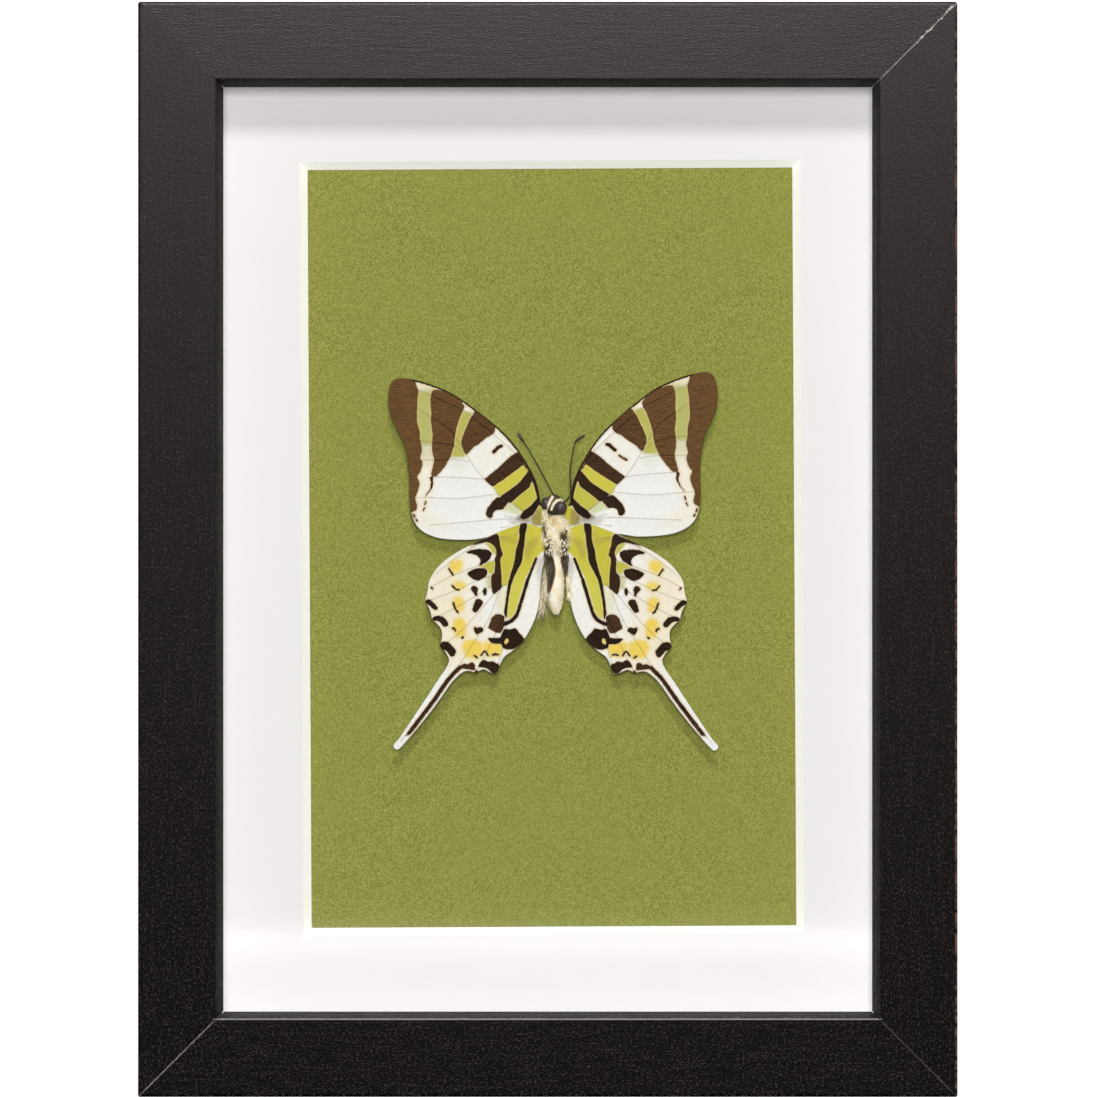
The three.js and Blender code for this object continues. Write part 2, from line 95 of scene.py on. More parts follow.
# Dark marks: how black each is, and its edge
FOREWING_DARK = [
    (0.12, [  # tip and outer margin
        (29.6, 33.7), (28.9, 32.9), (28.8, 32.4), (28.4, 31.2), (28.5, 30.2), (28.75, 29.2),
        (28.7, 28.2), (28.9, 27.2), (28.9, 26.2), (29, 25), (28.9, 24), (28.6, 23), (28.5, 22),
        (28.5, 21), (28.35, 20), (28.2, 19), (28.2, 18.2), (28.5, 17.4), (28.6, 16.6),
        (28.2, 15.8), (28.3, 14.9), (28.6, 14), (29, 13.3), (29.5, 12.8), (29.2, 12),
        (29, 11.2), (29.2, 10.3), (29.5, 9.4), (29.9, 8.6), (30.1, 8.1), (29.9, 7.2),
        (29.7, 6.4), (29.9, 5.6), (30.6, 5.2), (31, 5.1), (34, 5), (37, 27), (36, 36), (30.5, 35.5)]),
    (0.15, [  # broad bar across the end of the cell
        (20.4, 29.6), (22, 30.4), (24.3, 31.2), (25.3, 31.1), (25.5, 30.4), (25.8, 29.2),
        (25.75, 27.5), (25.7, 26), (25.9, 24.5), (25.7, 23), (25.6, 21.5), (25.8, 20),
        (25.9, 18.8), (25.8, 17.5), (25.5, 16.5), (25.7, 15.3), (26, 14.2), (26.3, 13.2),
        (26.3, 12.7), (25.3, 12.6), (24.6, 13.3), (23.6, 14.4), (22.7, 15.7), (22, 16.9),
        (21.5, 18.2), (21.1, 19.6), (21, 21), (20.5, 22.8), (20, 24.3), (19.5, 25.5),
        (18.9, 26.6), (18.5, 27.4), (19.3, 28.5)]),
    (0.25, [  # short bar inside it
        (12.2, 22.9), (13.5, 24.3), (15, 25.6), (16.3, 26.3), (16.8, 25.4), (17.4, 24.7),
        (17.9, 23.5), (18.6, 22.2), (19.1, 21), (19.5, 20), (19.5, 19.1), (19.2, 18.3),
        (18.9, 17.4), (18.5, 17.1), (17.9, 17.6), (17, 18.6), (16, 19.1), (15, 19.8),
        (14.2, 20.5), (13.3, 20.9), (12.7, 21.2), (12.2, 21.9)]),
    (0.5, [  # third cell bar
        (7.5, 17), (9, 16.2), (12, 13.6), (14.9, 11.5), (14, 10.6), (13.2, 9.9), (11, 11.2),
        (8.6, 12.8), (6.5, 14.3), (5.9, 14.9), (6.8, 16.3)]),
    (0.75, [  # second cell bar
        (4.2, 11.4), (5.3, 13), (5.8, 12.2), (7.5, 10.3), (9.7, 8.8), (11.5, 7.7), (11, 7.2),
        (9.8, 6.3), (9.5, 6.2), (7.5, 7.8), (5.2, 9.5), (4.9, 10.5), (4.3, 11.2)]),
    (0.75, [  # hook below it
        (10, 6.4), (11, 7.2), (12, 7.5), (12.6, 7.3), (13.5, 6.4), (14.3, 5.5), (14.75, 4.6),
        (14.85, 3.9), (14.6, 3.4), (14, 3.1), (13.6, 3.2), (13.5, 3.9), (13.3, 4.4),
        (12.7, 4.8), (12, 4.9), (11.4, 4.75), (10.6, 5.6)]),
    (0.95, [  # black at the root
        (2.7, 6.9), (3.2, 7.5), (4, 6.5), (5.2, 5.3), (6.8, 4.2), (7.6, 3), (6.9, 2.5), (5.8, 2.9),
        (4.9, 3.4), (4.2, 4.3), (3.6, 5.3), (3.1, 6)]),
    (0.7, [  # inside the outer margin
        (26, 12.6), (26.1, 11.8), (26, 11), (26.3, 10.2), (27, 9.2), (27.9, 8.3), (26.9, 9.5),
        (26.5, 10.5), (26.4, 11.4), (26.7, 12.4)]),
]
# Dark lines: how black, how wide, the route, and the sides that have it
FOREWING_LINES = [
    (0.9, 1.1, [(2.9, 5.8), (3.2, 7.4), (3.6, 9.4), (4.2, 11.4)], "left right"),
    (0.8, 0.6, [(3.6, 9.4), (5.9, 15), (9.2, 20), (13.8, 24.6), (20.5, 29.9), (25.5, 32.4), (29.7, 33.75)],
     "left right"),
    (0.75, 0.6, [(11, 18.5), (11.6, 18.3), (12, 17.9), (12.7, 17.3)], "left right"),
    (0.3, 0.38, [(13.7, 16.1), (14.4, 15.6), (15.2, 15.2)], "right"),
    (0.6, 0.2, [(27.8, 7.2), (28, 6.6)], "left right"),
    (0.6, 0.2, [(28.1, 5.9), (28.4, 5.3)], "left right"),
    (0.3, 0.3, [(30.5, 4.6), (30.3, 4)], "left right"),
    (0.3, 0.26, [(30, 3.4), (29.8, 3.1)], "left right"),
    (0.3, 0.16, [(5.6, 13.2), (6.2, 14.2)], "left right"),
]
FOREWING_VEINS = [
    [(5.5, 3.6), (8.3, 5.3), (11.4, 7.6), (12.4, 8.3), (13.2, 9.8), (15, 11.6), (16.8, 14),
     (18.1, 16.2), (18.7, 17.2)],
    [(15, 11.5), (20, 12.1), (26, 12.5)],
    [(12.5, 8.2), (17, 7.8), (21, 7.6), (27, 8.1), (30, 8.2)],
    [(7.5, 2.3), (10, 2.7), (14, 2.7), (20, 2.4), (27, 2.2)],
    [(18.2, 15.5), (20, 15.9), (22, 16.1), (28.2, 16.2)],
    [(18.9, 17.3), (22, 19.3), (28.3, 20.4)],
    [(4.6, 2.6), (7.5, 1.5), (12, 0.9)],
    [(4.8, 3), (8, 2.9), (11, 3.4)],
    [(19.3, 18.4), (22.5, 23), (28.8, 27.4)],
    [(5.8, 13.9), (8, 16.8), (12.6, 21.2), (16.5, 24.6), (20, 27.2), (28.6, 31.5)],
]
# Green to yellow fields: hue from pale green to yellow, softness of the edge, strength, edge
FOREWING_LIME = [
    (0.3, 1.5, 1.0, [(23.6, 31.4), (30.8, 31.6), (30, 26), (29.8, 20), (29.6, 19), (24.8, 19), (24.6, 25)]),
    (0.3, 2.6, 0.5, [(23.6, 21), (30.8, 21), (30.4, 15.5), (24, 15.5)]),
    (0.4, 1.6, 0.25, [(18.2, 17.6), (22.6, 17.6), (22.4, 14.4), (20.4, 12.6), (18.2, 14.4)]),
    (0.6, 0.8, 1.0, [
        (16.7, 26), (17.3, 24.2), (18.2, 22.3), (19, 21), (19.2, 19), (18.7, 17.2), (18.9, 16.4),
        (22.2, 16.4), (21.9, 17.8), (21.4, 19.3), (21.2, 20.6), (20.7, 22.5), (20.2, 24.5),
        (19.3, 26.4), (18.2, 26.4)]),
    (0.9, 0.14, 1.0, [
        (4.9, 12.9), (6.1, 14.9), (8.6, 13.2), (11, 11.6), (13.05, 10), (12.35, 8.35), (11.8, 7.4),
        (9.8, 8.5), (7.5, 10), (6, 11.1), (5.1, 12.2)]),
    (0.75, 0.2, 1.0, [
        (3.2, 7.8), (3.9, 10.8), (4.9, 10.6), (5.2, 9.9), (7.5, 8.1), (9.5, 6.6), (8.4, 5.2),
        (7.3, 4.2), (6.5, 4.1), (5, 5.3), (4.1, 6.3), (3.4, 7)]),
    (0.0, 0.7, 0.9, [(7.2, 3.4), (7.4, 4.4), (9.4, 6.4), (10.4, 6.2), (11.4, 4.6), (10, 4.2), (8.5, 3.5)]),
    (0.85, 0.5, 1.0, [(1, 0.6), (1.4, 5), (2.9, 6.4), (3.6, 5), (4.6, 3.6), (5.4, 2.6), (4.6, 1.2)]),
]
FOREWING_CREAM = [
    (0.3, 1.0, [
        (16.2, 26.7), (20.5, 29.6), (25.3, 31.9), (30.8, 33.5), (29.5, 32),
        (25.3, 31.2), (20.4, 29.3), (17.2, 26.3)]),
    (1.4, 0.55, [(24.5, 18), (29.6, 18), (30.5, 8), (30, 4.5), (28.4, 4), (26.4, 8), (25.6, 12.4)]),
    (0.8, 0.6, [(7.6, 16.4), (12.6, 21.4), (12.9, 20.9), (8.2, 16)]),
    (2.0, 0.5, [(22, 1), (30, 1.5), (31, 6), (27, 5)]),
    (1.2, 0.25, [(9, 17), (12.5, 21), (18.5, 17), (15, 12)]),
]
# Brown-grey at the forewing roots, partly the scales' own colour and partly painted shade in the folds:
# softness, strength, edge
FOREWING_BROWN_AND_SHADE = [
    (0.5, 0.9, [(5.4, 1.9), (5.6, 3.2), (7, 3.7), (8.2, 3.2), (8.6, 2.4), (6.6, 1.8)]),
    (0.8, 0.6, [(3.6, 1), (6, 1.2), (9.4, 1.5), (10, 2.3), (6, 2.6), (4, 2.2)]),
    (0.6, 0.75, [(3, 1), (3.1, 4.4), (3.9, 4.6), (5.2, 3.1), (5.6, 1.8), (5, 0.6)]),
    (0.5, 0.5, [(5.2, 1.6), (7.4, 1.3), (9, 1.8), (7.6, 2.6), (5.4, 2.8)]),
]

HINDWING_DARK = [
    (0.9, [  # band from the root
        (7.4, 1.3), (7.7, 0), (7.6, -1.5), (7.9, -3), (8.4, -4.5), (8.5, -6), (9, -8),
        (9.6, -10), (10, -11.5), (10.3, -13.5), (10.6, -16), (10.9, -18), (10.4, -19.3),
        (10.3, -17.5), (10.1, -15.5), (9.8, -13.5), (9.4, -11.8), (8.8, -10), (8, -8.5),
        (7.3, -7.2), (7, -6), (6.9, -4.5), (6.6, -3), (6.5, -1), (6.2, 0), (6, 1.6)]),
    (0.7, [  # bar at the end of the cell
        (12.6, -0.8), (13.5, -1.2), (15.5, -2.1), (17, -2.6), (18.4, -3.6), (17.5, -3.2),
        (15, -2.6), (14, -2.8), (13.2, -3.3), (12.8, -4), (12.6, -5), (12.7, -5.6),
        (13, -6.3), (12.9, -7.5), (13, -9.2), (13.7, -10), (13.8, -11), (13.7, -12),
        (13.5, -13.2), (13.2, -13.9), (12.5, -13.3), (11.5, -12.5), (11.6, -11.2),
        (11.6, -10.2), (11.7, -8.8), (11.9, -7), (11.9, -6.1), (11.3, -5.4), (11.6, -4.6),
        (12, -3.2), (12.1, -1.9)]),
    (0.9, [  # crescent
        (14, -4.7), (14.8, -4.4), (16.5, -4.2), (18, -4.4), (19.3, -4.9), (19, -5.1),
        (17.8, -5.2), (16.8, -5.6), (16.2, -6.4), (16.1, -7), (16.5, -7.8), (16.2, -7.7),
        (15.2, -7), (14.6, -6.8), (14, -5.9), (13.75, -5.4)]),
    (0.85, [(14.6, -9), (15, -8.5), (16.5, -8.3), (17.3, -8.5), (19.1, -9.4), (18.6, -10),
            (17.8, -10.6), (16.7, -11), (15.8, -10.5), (15, -10)]),
    (0.8, [(14.8, -13.1), (15.1, -12.4), (15.6, -13.2), (15.3, -14.2), (14.9, -14)]),
    (0.8, [(16.7, -12.8), (17.2, -12.2), (17.9, -12.2), (18.3, -12.9), (17.7, -13.4),
           (17.1, -14.4), (16.9, -14.2), (16.9, -13.4)]),
    (0.85, [(15.6, -15.6), (16.2, -15), (17, -15), (17.4, -15.8), (17.7, -16.8),
            (17.9, -17.6), (17.1, -17.9), (16.4, -17), (15.6, -15.9)]),
    (0.45, [(10.9, -18.6), (11.8, -18.2), (12.8, -18.3), (13.6, -19), (13.9, -20),
           (14.4, -21.2), (13.6, -21.6), (12.6, -22.2), (11.6, -22.2), (11.1, -21.2),
           (10.9, -20)]),
    (0.9, [  # black round the inner angle
        (8.4, -21.2), (9, -21.4), (9.7, -21.6), (10.9, -21.4), (11.3, -22.5), (11.6, -23.3),
        (13, -23.4), (14.5, -23.4), (13.8, -24.2), (12.8, -24.6), (12.2, -24.5),
        (11.4, -24.6), (11.2, -25.4), (10.2, -25.8), (9, -25.7), (8, -25.2), (7.2, -24.6),
        (6.4, -23.7), (6.9, -22.9), (7.8, -22)]),
    (0.75, [(15.4, -21.7), (15.9, -21), (16.8, -21.3), (17.4, -20.9), (17.6, -21.5),
            (16.9, -22.7), (16.3, -22.3), (15.7, -22)]),
    (0.8, [(26.5, -12.9), (26.9, -12.3), (27.1, -12.5), (26.8, -13)]),
    (0.85, [(25.5, -16.9), (26.2, -16.1), (27.2, -15.2), (27.9, -15.2), (28.4, -15.6),
            (28, -16), (27, -16.6), (26.3, -17.3), (25.7, -17.4)]),
    (0.85, [(23.2, -20.3), (23.6, -19.6), (24.3, -18.9), (25.3, -18.7), (26.2, -18.8),
            (26.7, -19.2), (26.5, -19.6), (25.3, -19.7), (24.6, -20.3), (24.2, -20.9),
            (23.6, -21), (23.2, -20.7)]),
    (0.85, [(21.5, -26), (22.2, -25.3), (23, -24.4), (24, -24.2), (24.7, -24.5),
            (25, -25.2), (24.6, -25.8), (23.6, -26.1), (23, -26.8), (22.4, -27.5),
            (21.9, -27.3), (21.5, -26.6)]),
    (0.8, [(11.9, -29), (12.6, -28.9), (13.2, -28.4), (14, -28.5), (14.5, -28.6),
           (15, -28.1), (15.7, -28.3), (16.2, -28.9), (16.5, -29.6), (16, -29.6),
           (15, -29.7), (14.2, -30.1), (13.6, -30.8), (12.9, -31), (12.3, -30.7), (11.9, -30)]),
    (0.55, [  # root of the tail and the streak along it
        (17.3, -30.3), (17.3, -29.2), (17.8, -28.6), (18.3, -28.8), (18.8, -29.2),
        (19.4, -28.9), (20, -29.2), (20.8, -29.6), (21.5, -30.2), (22.4, -31.2),
        (23.4, -32.4), (24.4, -33.6), (25.4, -35), (26.4, -36.5), (27.2, -37.6),
        (28.2, -38.9), (29, -40), (29.8, -41), (30.5, -42), (31.4, -43.2), (32.3, -44.6),
        (32, -44.5), (30.6, -42.7), (29.6, -41.4), (28.4, -40), (27, -38.4), (25.8, -37),
        (24.6, -35.2), (23.2, -33.2), (22, -31.5), (21.2, -30.6), (20, -29.9)]),
]
HINDWING_LINES = [
    (0.9, 0.46, [(4, -6.2), (4.6, -7.8), (5.1, -9), (5.8, -10.8)], "left right"),
    (0.9, 0.62, [(5.8, -10.8), (6.4, -12.8), (7, -14.8), (7.6, -16.8), (8.1, -18.2)], "left right"),
    (0.9, 0.72, [(8.1, -18.2), (8.8, -19.2), (9.8, -19.9), (10.8, -20.3)], "left right"),
    (0.55, 0.75, [(20.5, -29.7), (23, -32.3), (26, -36.6), (29, -40.6), (31.6, -44)], "left right"),
    (0.7, 0.28, [(22.2, -9.8), (22.6, -9.2), (23.1, -8.5)], "left right"),
    (0.7, 0.28, [(20.9, -13), (21.6, -12.9), (22.3, -12.1)], "left right"),
    (0.7, 0.28, [(21, -17.9), (21.6, -17.2), (22.1, -15.8)], "left right"),
    (0.7, 0.28, [(21.6, -21.9), (21.8, -21.4), (22.2, -21.3)], "left right"),
    (0.7, 0.4, [(19.95, -23.25), (20.05, -23.35)], "left right"),
    (0.7, 0.28, [(12.2, -27), (12.6, -26.8), (13.4, -27)], "left right"),
    (0.7, 0.28, [(14.4, -27.1), (15.1, -26.2), (15.9, -27.1)], "left right"),
    (0.7, 0.28, [(16.8, -27.6), (17.4, -27.2)], "left right"),
    (0.3, 0.5, [(16.9, -30.6), (17.1, -30.9)], "left right"),
]
HINDWING_VEINS = [
    [(6.2, 0.8), (9.4, -1.6), (12.4, -1.6), (19, -4.4), (26, -9.6)],
    [(13, -6.4), (17, -7.9), (22.5, -10), (27, -12.4)],
    [(13.6, -9.8), (17.5, -11.3), (22, -13.3), (27.6, -15.4)],
    [(13.7, -12), (17.5, -14.5), (22, -17), (26.2, -19.1)],
    [(13.2, -13.8), (16.5, -17.8), (20.5, -22), (24, -24.8)],
    [(10, -11.7), (11.6, -12.6), (14.5, -19.5), (18, -25), (20.5, -29), (27, -37.8), (33.5, -45.8)],
    [(10.7, -18.4), (12.8, -22.4), (15, -27), (16.8, -30.4)],
    [(10.4, -19.5), (10.6, -23), (11.6, -27), (12.4, -30)],
]
HINDWING_LIME = [
    (0.88, 0.3, 1.0, [
        (0.5, 0), (3.4, 0.9), (4.5, 1.2), (5.8, 1.5), (6.6, 1.5), (6.8, -1.5), (7, -3), (7.3, -5), (7.8, -7),
        (8.9, -9), (9.7, -11), (8, -11.8), (6.4, -10.6), (5, -8), (4.2, -6.3), (3, -5), (1.6, -4)]),
    (0.94, 0.5, 1.0, [
        (6.2, -8), (8.6, -8), (9.9, -11), (10.3, -14), (10.6, -17), (10.2, -19.2), (8.9, -18.8),
        (7.9, -16.4), (7.1, -13.4), (6.3, -10.8)]),
    (0.8, 0.18, 1.0, [
        (7, 1.5), (12.6, -0.6), (12.4, -1.9), (12.3, -3.2), (11.9, -4.6), (11.7, -5.4), (12.2, -6.1),
        (12.2, -7), (12, -8.8), (11.9, -10.2), (11.9, -11.2), (11.7, -12.5), (10, -11.8), (9.3, -10),
        (8.7, -8), (8.2, -6), (8.1, -4.5), (7.6, -3), (7.3, -1.5), (7.3, 0)]),
    (1.0, 1.2, 0.4, [
        (10.1, -11.9), (11.8, -12.7), (13, -14), (13.1, -16), (12.5, -18.2), (10.8, -18.4), (10.4, -15)]),
    (0.75, 0.3, 1.0, [
        (12.4, -3), (13, -2.9), (14.2, -2.6), (15.2, -2.9), (14.4, -3.8), (13.6, -4.8), (12.6, -5.8)]),
    (0.75, 0.25, 1.0, [
        (12.9, -6.6), (14.5, -7), (16.2, -7.9), (16.3, -8.2), (14.8, -8.5),
        (14.4, -9.4), (13.4, -9.6), (12.8, -8)]),
    (0.5, 0.6, 0.6, [(13.3, -9.4), (14.8, -9.6), (15.2, -11), (14.8, -12.6), (13.6, -13)]),
]
HINDWING_CREAM = [
    (4.0, 0.8, [
        (19, -4), (28.5, -9), (29.5, -16), (27.5, -20), (26, -26), (23, -30), (16, -30),
        (13.5, -26), (16.5, -20), (19, -12)]),
    (1.0, 0.12, [
        (1, -3), (2.7, -9), (3.2, -15.5), (4.4, -19.8), (6.6, -23.8), (7.8, -22),
        (6.6, -18), (5.4, -13), (4, -8)]),
]
HINDWING_GOLD = [
    (1.1, 0.9, [
        (20, -6.7), (21.4, -6.3), (22.9, -6.9), (23.4, -8.4), (22.4, -9.6), (20.8, -9.4), (20, -8.4)]),
    (1.0, 0.85, [(19.1, -11.6), (20.6, -10.9), (22, -11.2), (22.4, -12.6), (21.2, -13.3), (19.6, -13)]),
    (1.1, 0.95, [(19.6, -15.2), (20.8, -14.3), (22.2, -14.8), (22.3, -16.4), (21.3, -18), (19.8, -17.6)]),
    (1.1, 1.0, [(19.2, -20), (20.5, -18.9), (22, -19.4), (22.3, -21.4), (21.3, -23.5), (19.3, -23)]),
    (1.0, 1.0, [(11.1, -24.7), (13, -24), (15.3, -24.2), (15.6, -26.2), (14, -27.6), (11.5, -27.3)]),
    (1.0, 1.0, [
        (15.5, -24.4), (17.5, -23.6), (19.4, -23.8), (20.3, -25.2), (19.3, -27.6),
        (16.6, -28), (15.5, -26.6)]),
    (1.2, 0.4, [(1, 0.6), (3.6, 0.9), (5, -1), (3.8, -3.6), (1.2, -3)]),
    (0.12, 1.0, [(10.1, -23.3), (10.7, -23.5), (11, -24.3), (10.6, -24.9), (10.1, -24.5), (9.7, -23.9)]),
]
# Brown-grey at the hindwing roots, partly the scales' own colour and partly painted shade in the folds
HINDWING_BROWN_AND_SHADE = [
    (0.8, 0.45, [(2.4, -5.4), (3.8, -6.4), (3.9, -9), (3.2, -11), (2.6, -9), (2, -6)]),
    (0.9, 0.4, [(3.4, -1), (5.8, -2.4), (6.6, -4.8), (5.6, -6.6), (4.8, -4.6), (3.4, -2.6)]),
    (0.5, 0.3, [(8, -2.2), (11.6, -1.4), (11.8, -2.2), (8.4, -3)]),
]
# Spots left open in the dark marks
HINDWING_OPEN = [[(10.1, -23.3), (10.7, -23.5), (11, -24.3), (10.6, -24.9), (10.1, -24.5), (9.7, -23.9)]]


# Node materials

# How far the studio's light lifts a white face above the white of the picture
LIGHT = 1.29


def tint(red, green, blue):
    """The colour of a surface that the picture shows at these levels, from 0 to 255 each."""
    def linear(level):
        share = level / 255
        return (share / 12.92 if share <= 0.04045 else ((share + 0.055) / 1.055) ** 2.4) / LIGHT
    return (linear(red), linear(green), linear(blue), 1.0)


class Field:
    """A value that changes over a surface. Sums and products of fields add Math nodes."""

    def __init__(self, paint, socket):
        self.paint = paint
        self.socket = socket

    def __add__(self, other):
        return self.paint.math("ADD", self, other)

    def __radd__(self, other):
        return self.paint.math("ADD", other, self)

    def __sub__(self, other):
        return self.paint.math("SUBTRACT", self, other)

    def __rsub__(self, other):
        return self.paint.math("SUBTRACT", other, self)

    def __mul__(self, other):
        return self.paint.math("MULTIPLY", self, other)

    def __rmul__(self, other):
        return self.paint.math("MULTIPLY", other, self)

    def __truediv__(self, other):
        return self.paint.math("DIVIDE", self, other)

    def __abs__(self):
        return self.paint.math("ABSOLUTE", self)

    def ease(self, low, high):
        """0 at low and 1 at high, smooth between; low may be the larger."""
        return self.paint.node(
            "ShaderNodeMapRange", {"interpolation_type": "SMOOTHSTEP"},
            {"Value": self, "From Min": low, "From Max": high})


class Paint:
    """A node material on one Principled shader."""

    def __init__(self, name, **sockets):
        self.material = bpy.data.materials.new(name)
        self.material.use_nodes = True
        tree = self.material.node_tree
        self.nodes, self.links = tree.nodes, tree.links
        self.shader = self.nodes["Principled BSDF"]
        self.place = self.node("ShaderNodeVectorMath", {"operation": "SCALE"}, {
            0: self.node("ShaderNodeTexCoord", output="Object"), "Scale": 1 / MM})
        for socket, value in sockets.items():
            self.set(socket.replace("_", " "), value)

    def node(self, kind, settings=None, sockets=None, output=0):
        """Adds a node: first its settings, then the values or links of its sockets."""
        node = self.nodes.new(kind)
        for name, value in (settings or {}).items():
            if name == "stops":
                ramp = node.color_ramp.elements
                while len(ramp) < len(value):
                    ramp.new(0.5)
                for stop, (position, colour) in zip(ramp, value):
                    stop.position, stop.color = position, colour
            else:
                setattr(node, name, value)
        for name, value in (sockets or {}).items():
            self.feed(node.inputs[name], value)
        return Field(self, node.outputs[output])

    def feed(self, socket, value):
        if isinstance(value, Field):
            self.links.new(value.socket, socket)
        else:
            socket.default_value = value

    def set(self, socket, value):
        self.feed(self.shader.inputs[socket], value)

    def math(self, operation, first, second=0.0):
        return self.node("ShaderNodeMath", {"operation": operation}, {0: first, 1: second})

    def mix(self, share, first, second, how="MIX"):
        settings = {"data_type": "RGBA", "blend_type": how}
        return self.node("ShaderNodeMix", settings, {0: share, 6: first, 7: second}, 2)

    def ramp(self, share, *stops):
        return self.node("ShaderNodeValToRGB", {"stops": stops}, {0: share})

    def value(self, name):
        """A value that the points of the mesh carry."""
        return self.node("ShaderNodeAttribute", {"attribute_name": name}, output="Fac")

    def axis(self, letter):
        return self.node("ShaderNodeSeparateXYZ", None, {0: self.place}, letter)

    def facing(self, letter):
        """How far the true face looks along an axis."""
        normal = self.node("ShaderNodeNewGeometry", output="True Normal")
        return self.node("ShaderNodeSeparateXYZ", None, {0: normal}, letter)

    def noise(self, per_mm, detail=3.0, rough=0.5):
        """Noise with this many waves to the millimetre along each axis."""
        steps = per_mm if isinstance(per_mm, tuple) else (per_mm,) * 3
        at = self.node("ShaderNodeVectorMath", {"operation": "MULTIPLY"}, {0: self.place, 1: steps})
        sockets = {"Vector": at, "Scale": 1.0, "Detail": detail, "Roughness": rough}
        return self.node("ShaderNodeTexNoise", None, sockets)

    def flecks(self, per_mm):
        """Distance to the nearest of many scattered points, and a value of its own for each."""
        at = self.node("ShaderNodeVectorMath", {"operation": "SCALE"}, {0: self.place, "Scale": per_mm})
        sockets = {"Vector": at, "Scale": 1.0}
        node = self.node("ShaderNodeTexVoronoi", None, sockets, "Distance")
        own = Field(self, node.socket.node.outputs["Color"])
        return node, self.node("ShaderNodeSeparateColor", None, {0: own})

    def bump(self, height, strength, depth):
        sockets = {"Height": height, "Strength": strength, "Distance": depth * MM}
        self.set("Normal", self.node("ShaderNodeBump", None, sockets))


# Finishes of the frame

def rail_foil(run):
    """Black foil embossed with a fine short grain, worn at the mitres and the outer edge, with a painted
    highlight along the inner arris of the bottom rail.
    """
    paint = Paint(f"rail_foil_{run}", Specular_IOR_Level=0.22, Specular_Tint=(1.0, 0.86, 0.9, 1.0))
    def grain(along, across, detail, rough=0.6):
        steps = {"across": (along, across, across), "upright": (across, across, along)}
        return paint.noise(steps[run], detail, rough)
    pores = grain(1.7, 3.0, 2.0)
    streaks = grain(0.12, 1.3, 3.0)
    ridges = (0.8 * pores + 0.2 * streaks).ease(0.51, 0.63)
    shade = paint.mix(ridges, tint(0, 0, 0), tint(50, 43, 43))
    far, own = paint.flecks(0.9)
    shade = paint.mix(far.ease(0.14, 0.08) * own.ease(0.93, 0.95), shade, tint(92, 84, 84))
    x, y, z = (paint.axis(letter) for letter in "XYZ")
    mitre = abs((FRAME_W / 2 - abs(x)) - (MID_Z - abs(z - MID_Z))) * 0.7071
    chips = paint.noise(1.1, 4.0)
    edge = y.ease(FRAME_FRONT + 2.2, FRAME_FRONT + 0.9)
    top_right = x.ease(72, 73) * z.ease(MID_Z, MID_Z + 10) * x.ease(79, 80.5) * edge
    lower_left = x.ease(-72, -73) * z.ease(MID_Z, MID_Z - 10) * edge
    chipped = (mitre + chips * 1.3).ease(0.85, 0.6) * top_right
    rubbed = (mitre + chips * 0.5).ease(0.46, 0.3) * lower_left
    shade = paint.mix(chipped * 0.9, shade, tint(214, 208, 202))
    shade = paint.mix(rubbed * 0.5, shade, tint(140, 132, 126))
    # Painted highlight: a pale broken line along the upper inner arris of the bottom rail, where the light
    # from above catches it.
    arris_highlight = abs(z - 16.75).ease(0.17, 0.07) * edge * abs(x).ease(72.2, 71) * (0.4 + 0.6 * chips)
    shade = paint.mix(arris_highlight * 0.8, shade, tint(206, 200, 200))
    outer = x.ease(FRAME_W / 2 - 0.7, FRAME_W / 2 - 0.25) * edge * chips.ease(0.4, 0.6)
    shade = paint.mix(outer * 0.8, shade, tint(112, 84, 62))
    paint.set("Base Color", shade)
    lip = abs(paint.facing("Y")).ease(0.97, 0.9)
    paint.set("Roughness", 0.5 - 0.2 * ridges + 0.2 * lip)
    paint.bump(pores + 0.5 * streaks, 0.8, 0.09)
    return paint


def picture_glass():
    """Clear glass that lets light through to the mat without a shadow."""
    paint = Paint("picture_glass", Roughness=0.02, IOR=1.3, Specular_IOR_Level=0.3)
    paint.set("Transmission Weight", 1.0)
    paint.set("Base Color", paint.mix(paint.noise(0.02), (0.97, 0.99, 0.98, 1), (0.985, 0.995, 0.99, 1)))
    clear = paint.node("ShaderNodeBsdfTransparent")
    shadow = paint.node("ShaderNodeLightPath", output="Is Shadow Ray")
    both = paint.node("ShaderNodeMixShader", None, {
        0: shadow, 1: Field(paint, paint.shader.outputs[0]), 2: clear})
    paint.feed(paint.nodes["Material Output"].inputs["Surface"], both)
    return paint


def foam_board():
    """White foam-core strip: paper faces, a slightly open core on the cut edges."""
    paint = Paint("foam_board", Roughness=0.9, Specular_IOR_Level=0.2)
    cells = paint.noise(2.4, 4.0)
    shade = paint.mix(cells, tint(236, 234, 230), tint(247, 246, 243))
    cut = abs(paint.facing("Y")).ease(0.6, 0.9)
    paint.set("Base Color", paint.mix(cut * cells, shade, tint(222, 220, 214)))
    paint.bump(cells, 0.3, 0.08)
    return paint


def mat_board():
    """White mat board; its cut bevel shows the cream core, painted brighter than the face as painted light
    that makes up for the shade on the bevel.
    """
    paint = Paint("mat_board", Roughness=0.92, Specular_IOR_Level=0.03)
    fibre = paint.noise(1.6, 5.0)
    soft = paint.noise(0.03, 2.0)
    face = paint.mix(fibre * 0.5 + soft * 0.5, tint(241, 236, 237), tint(249, 244, 245))
    # The core is painted brighter than the face: painted light that evens out the shade on the sloping
    # bevel.
    core = paint.mix(fibre, (0.95, 0.93, 0.86, 1), (0.99, 0.98, 0.93, 1))
    bevel = abs(paint.facing("Y")).ease(0.95, 0.8)
    paint.set("Base Color", paint.mix(bevel, face, core))
    paint.bump(fibre, 0.15, 0.05)
    return paint


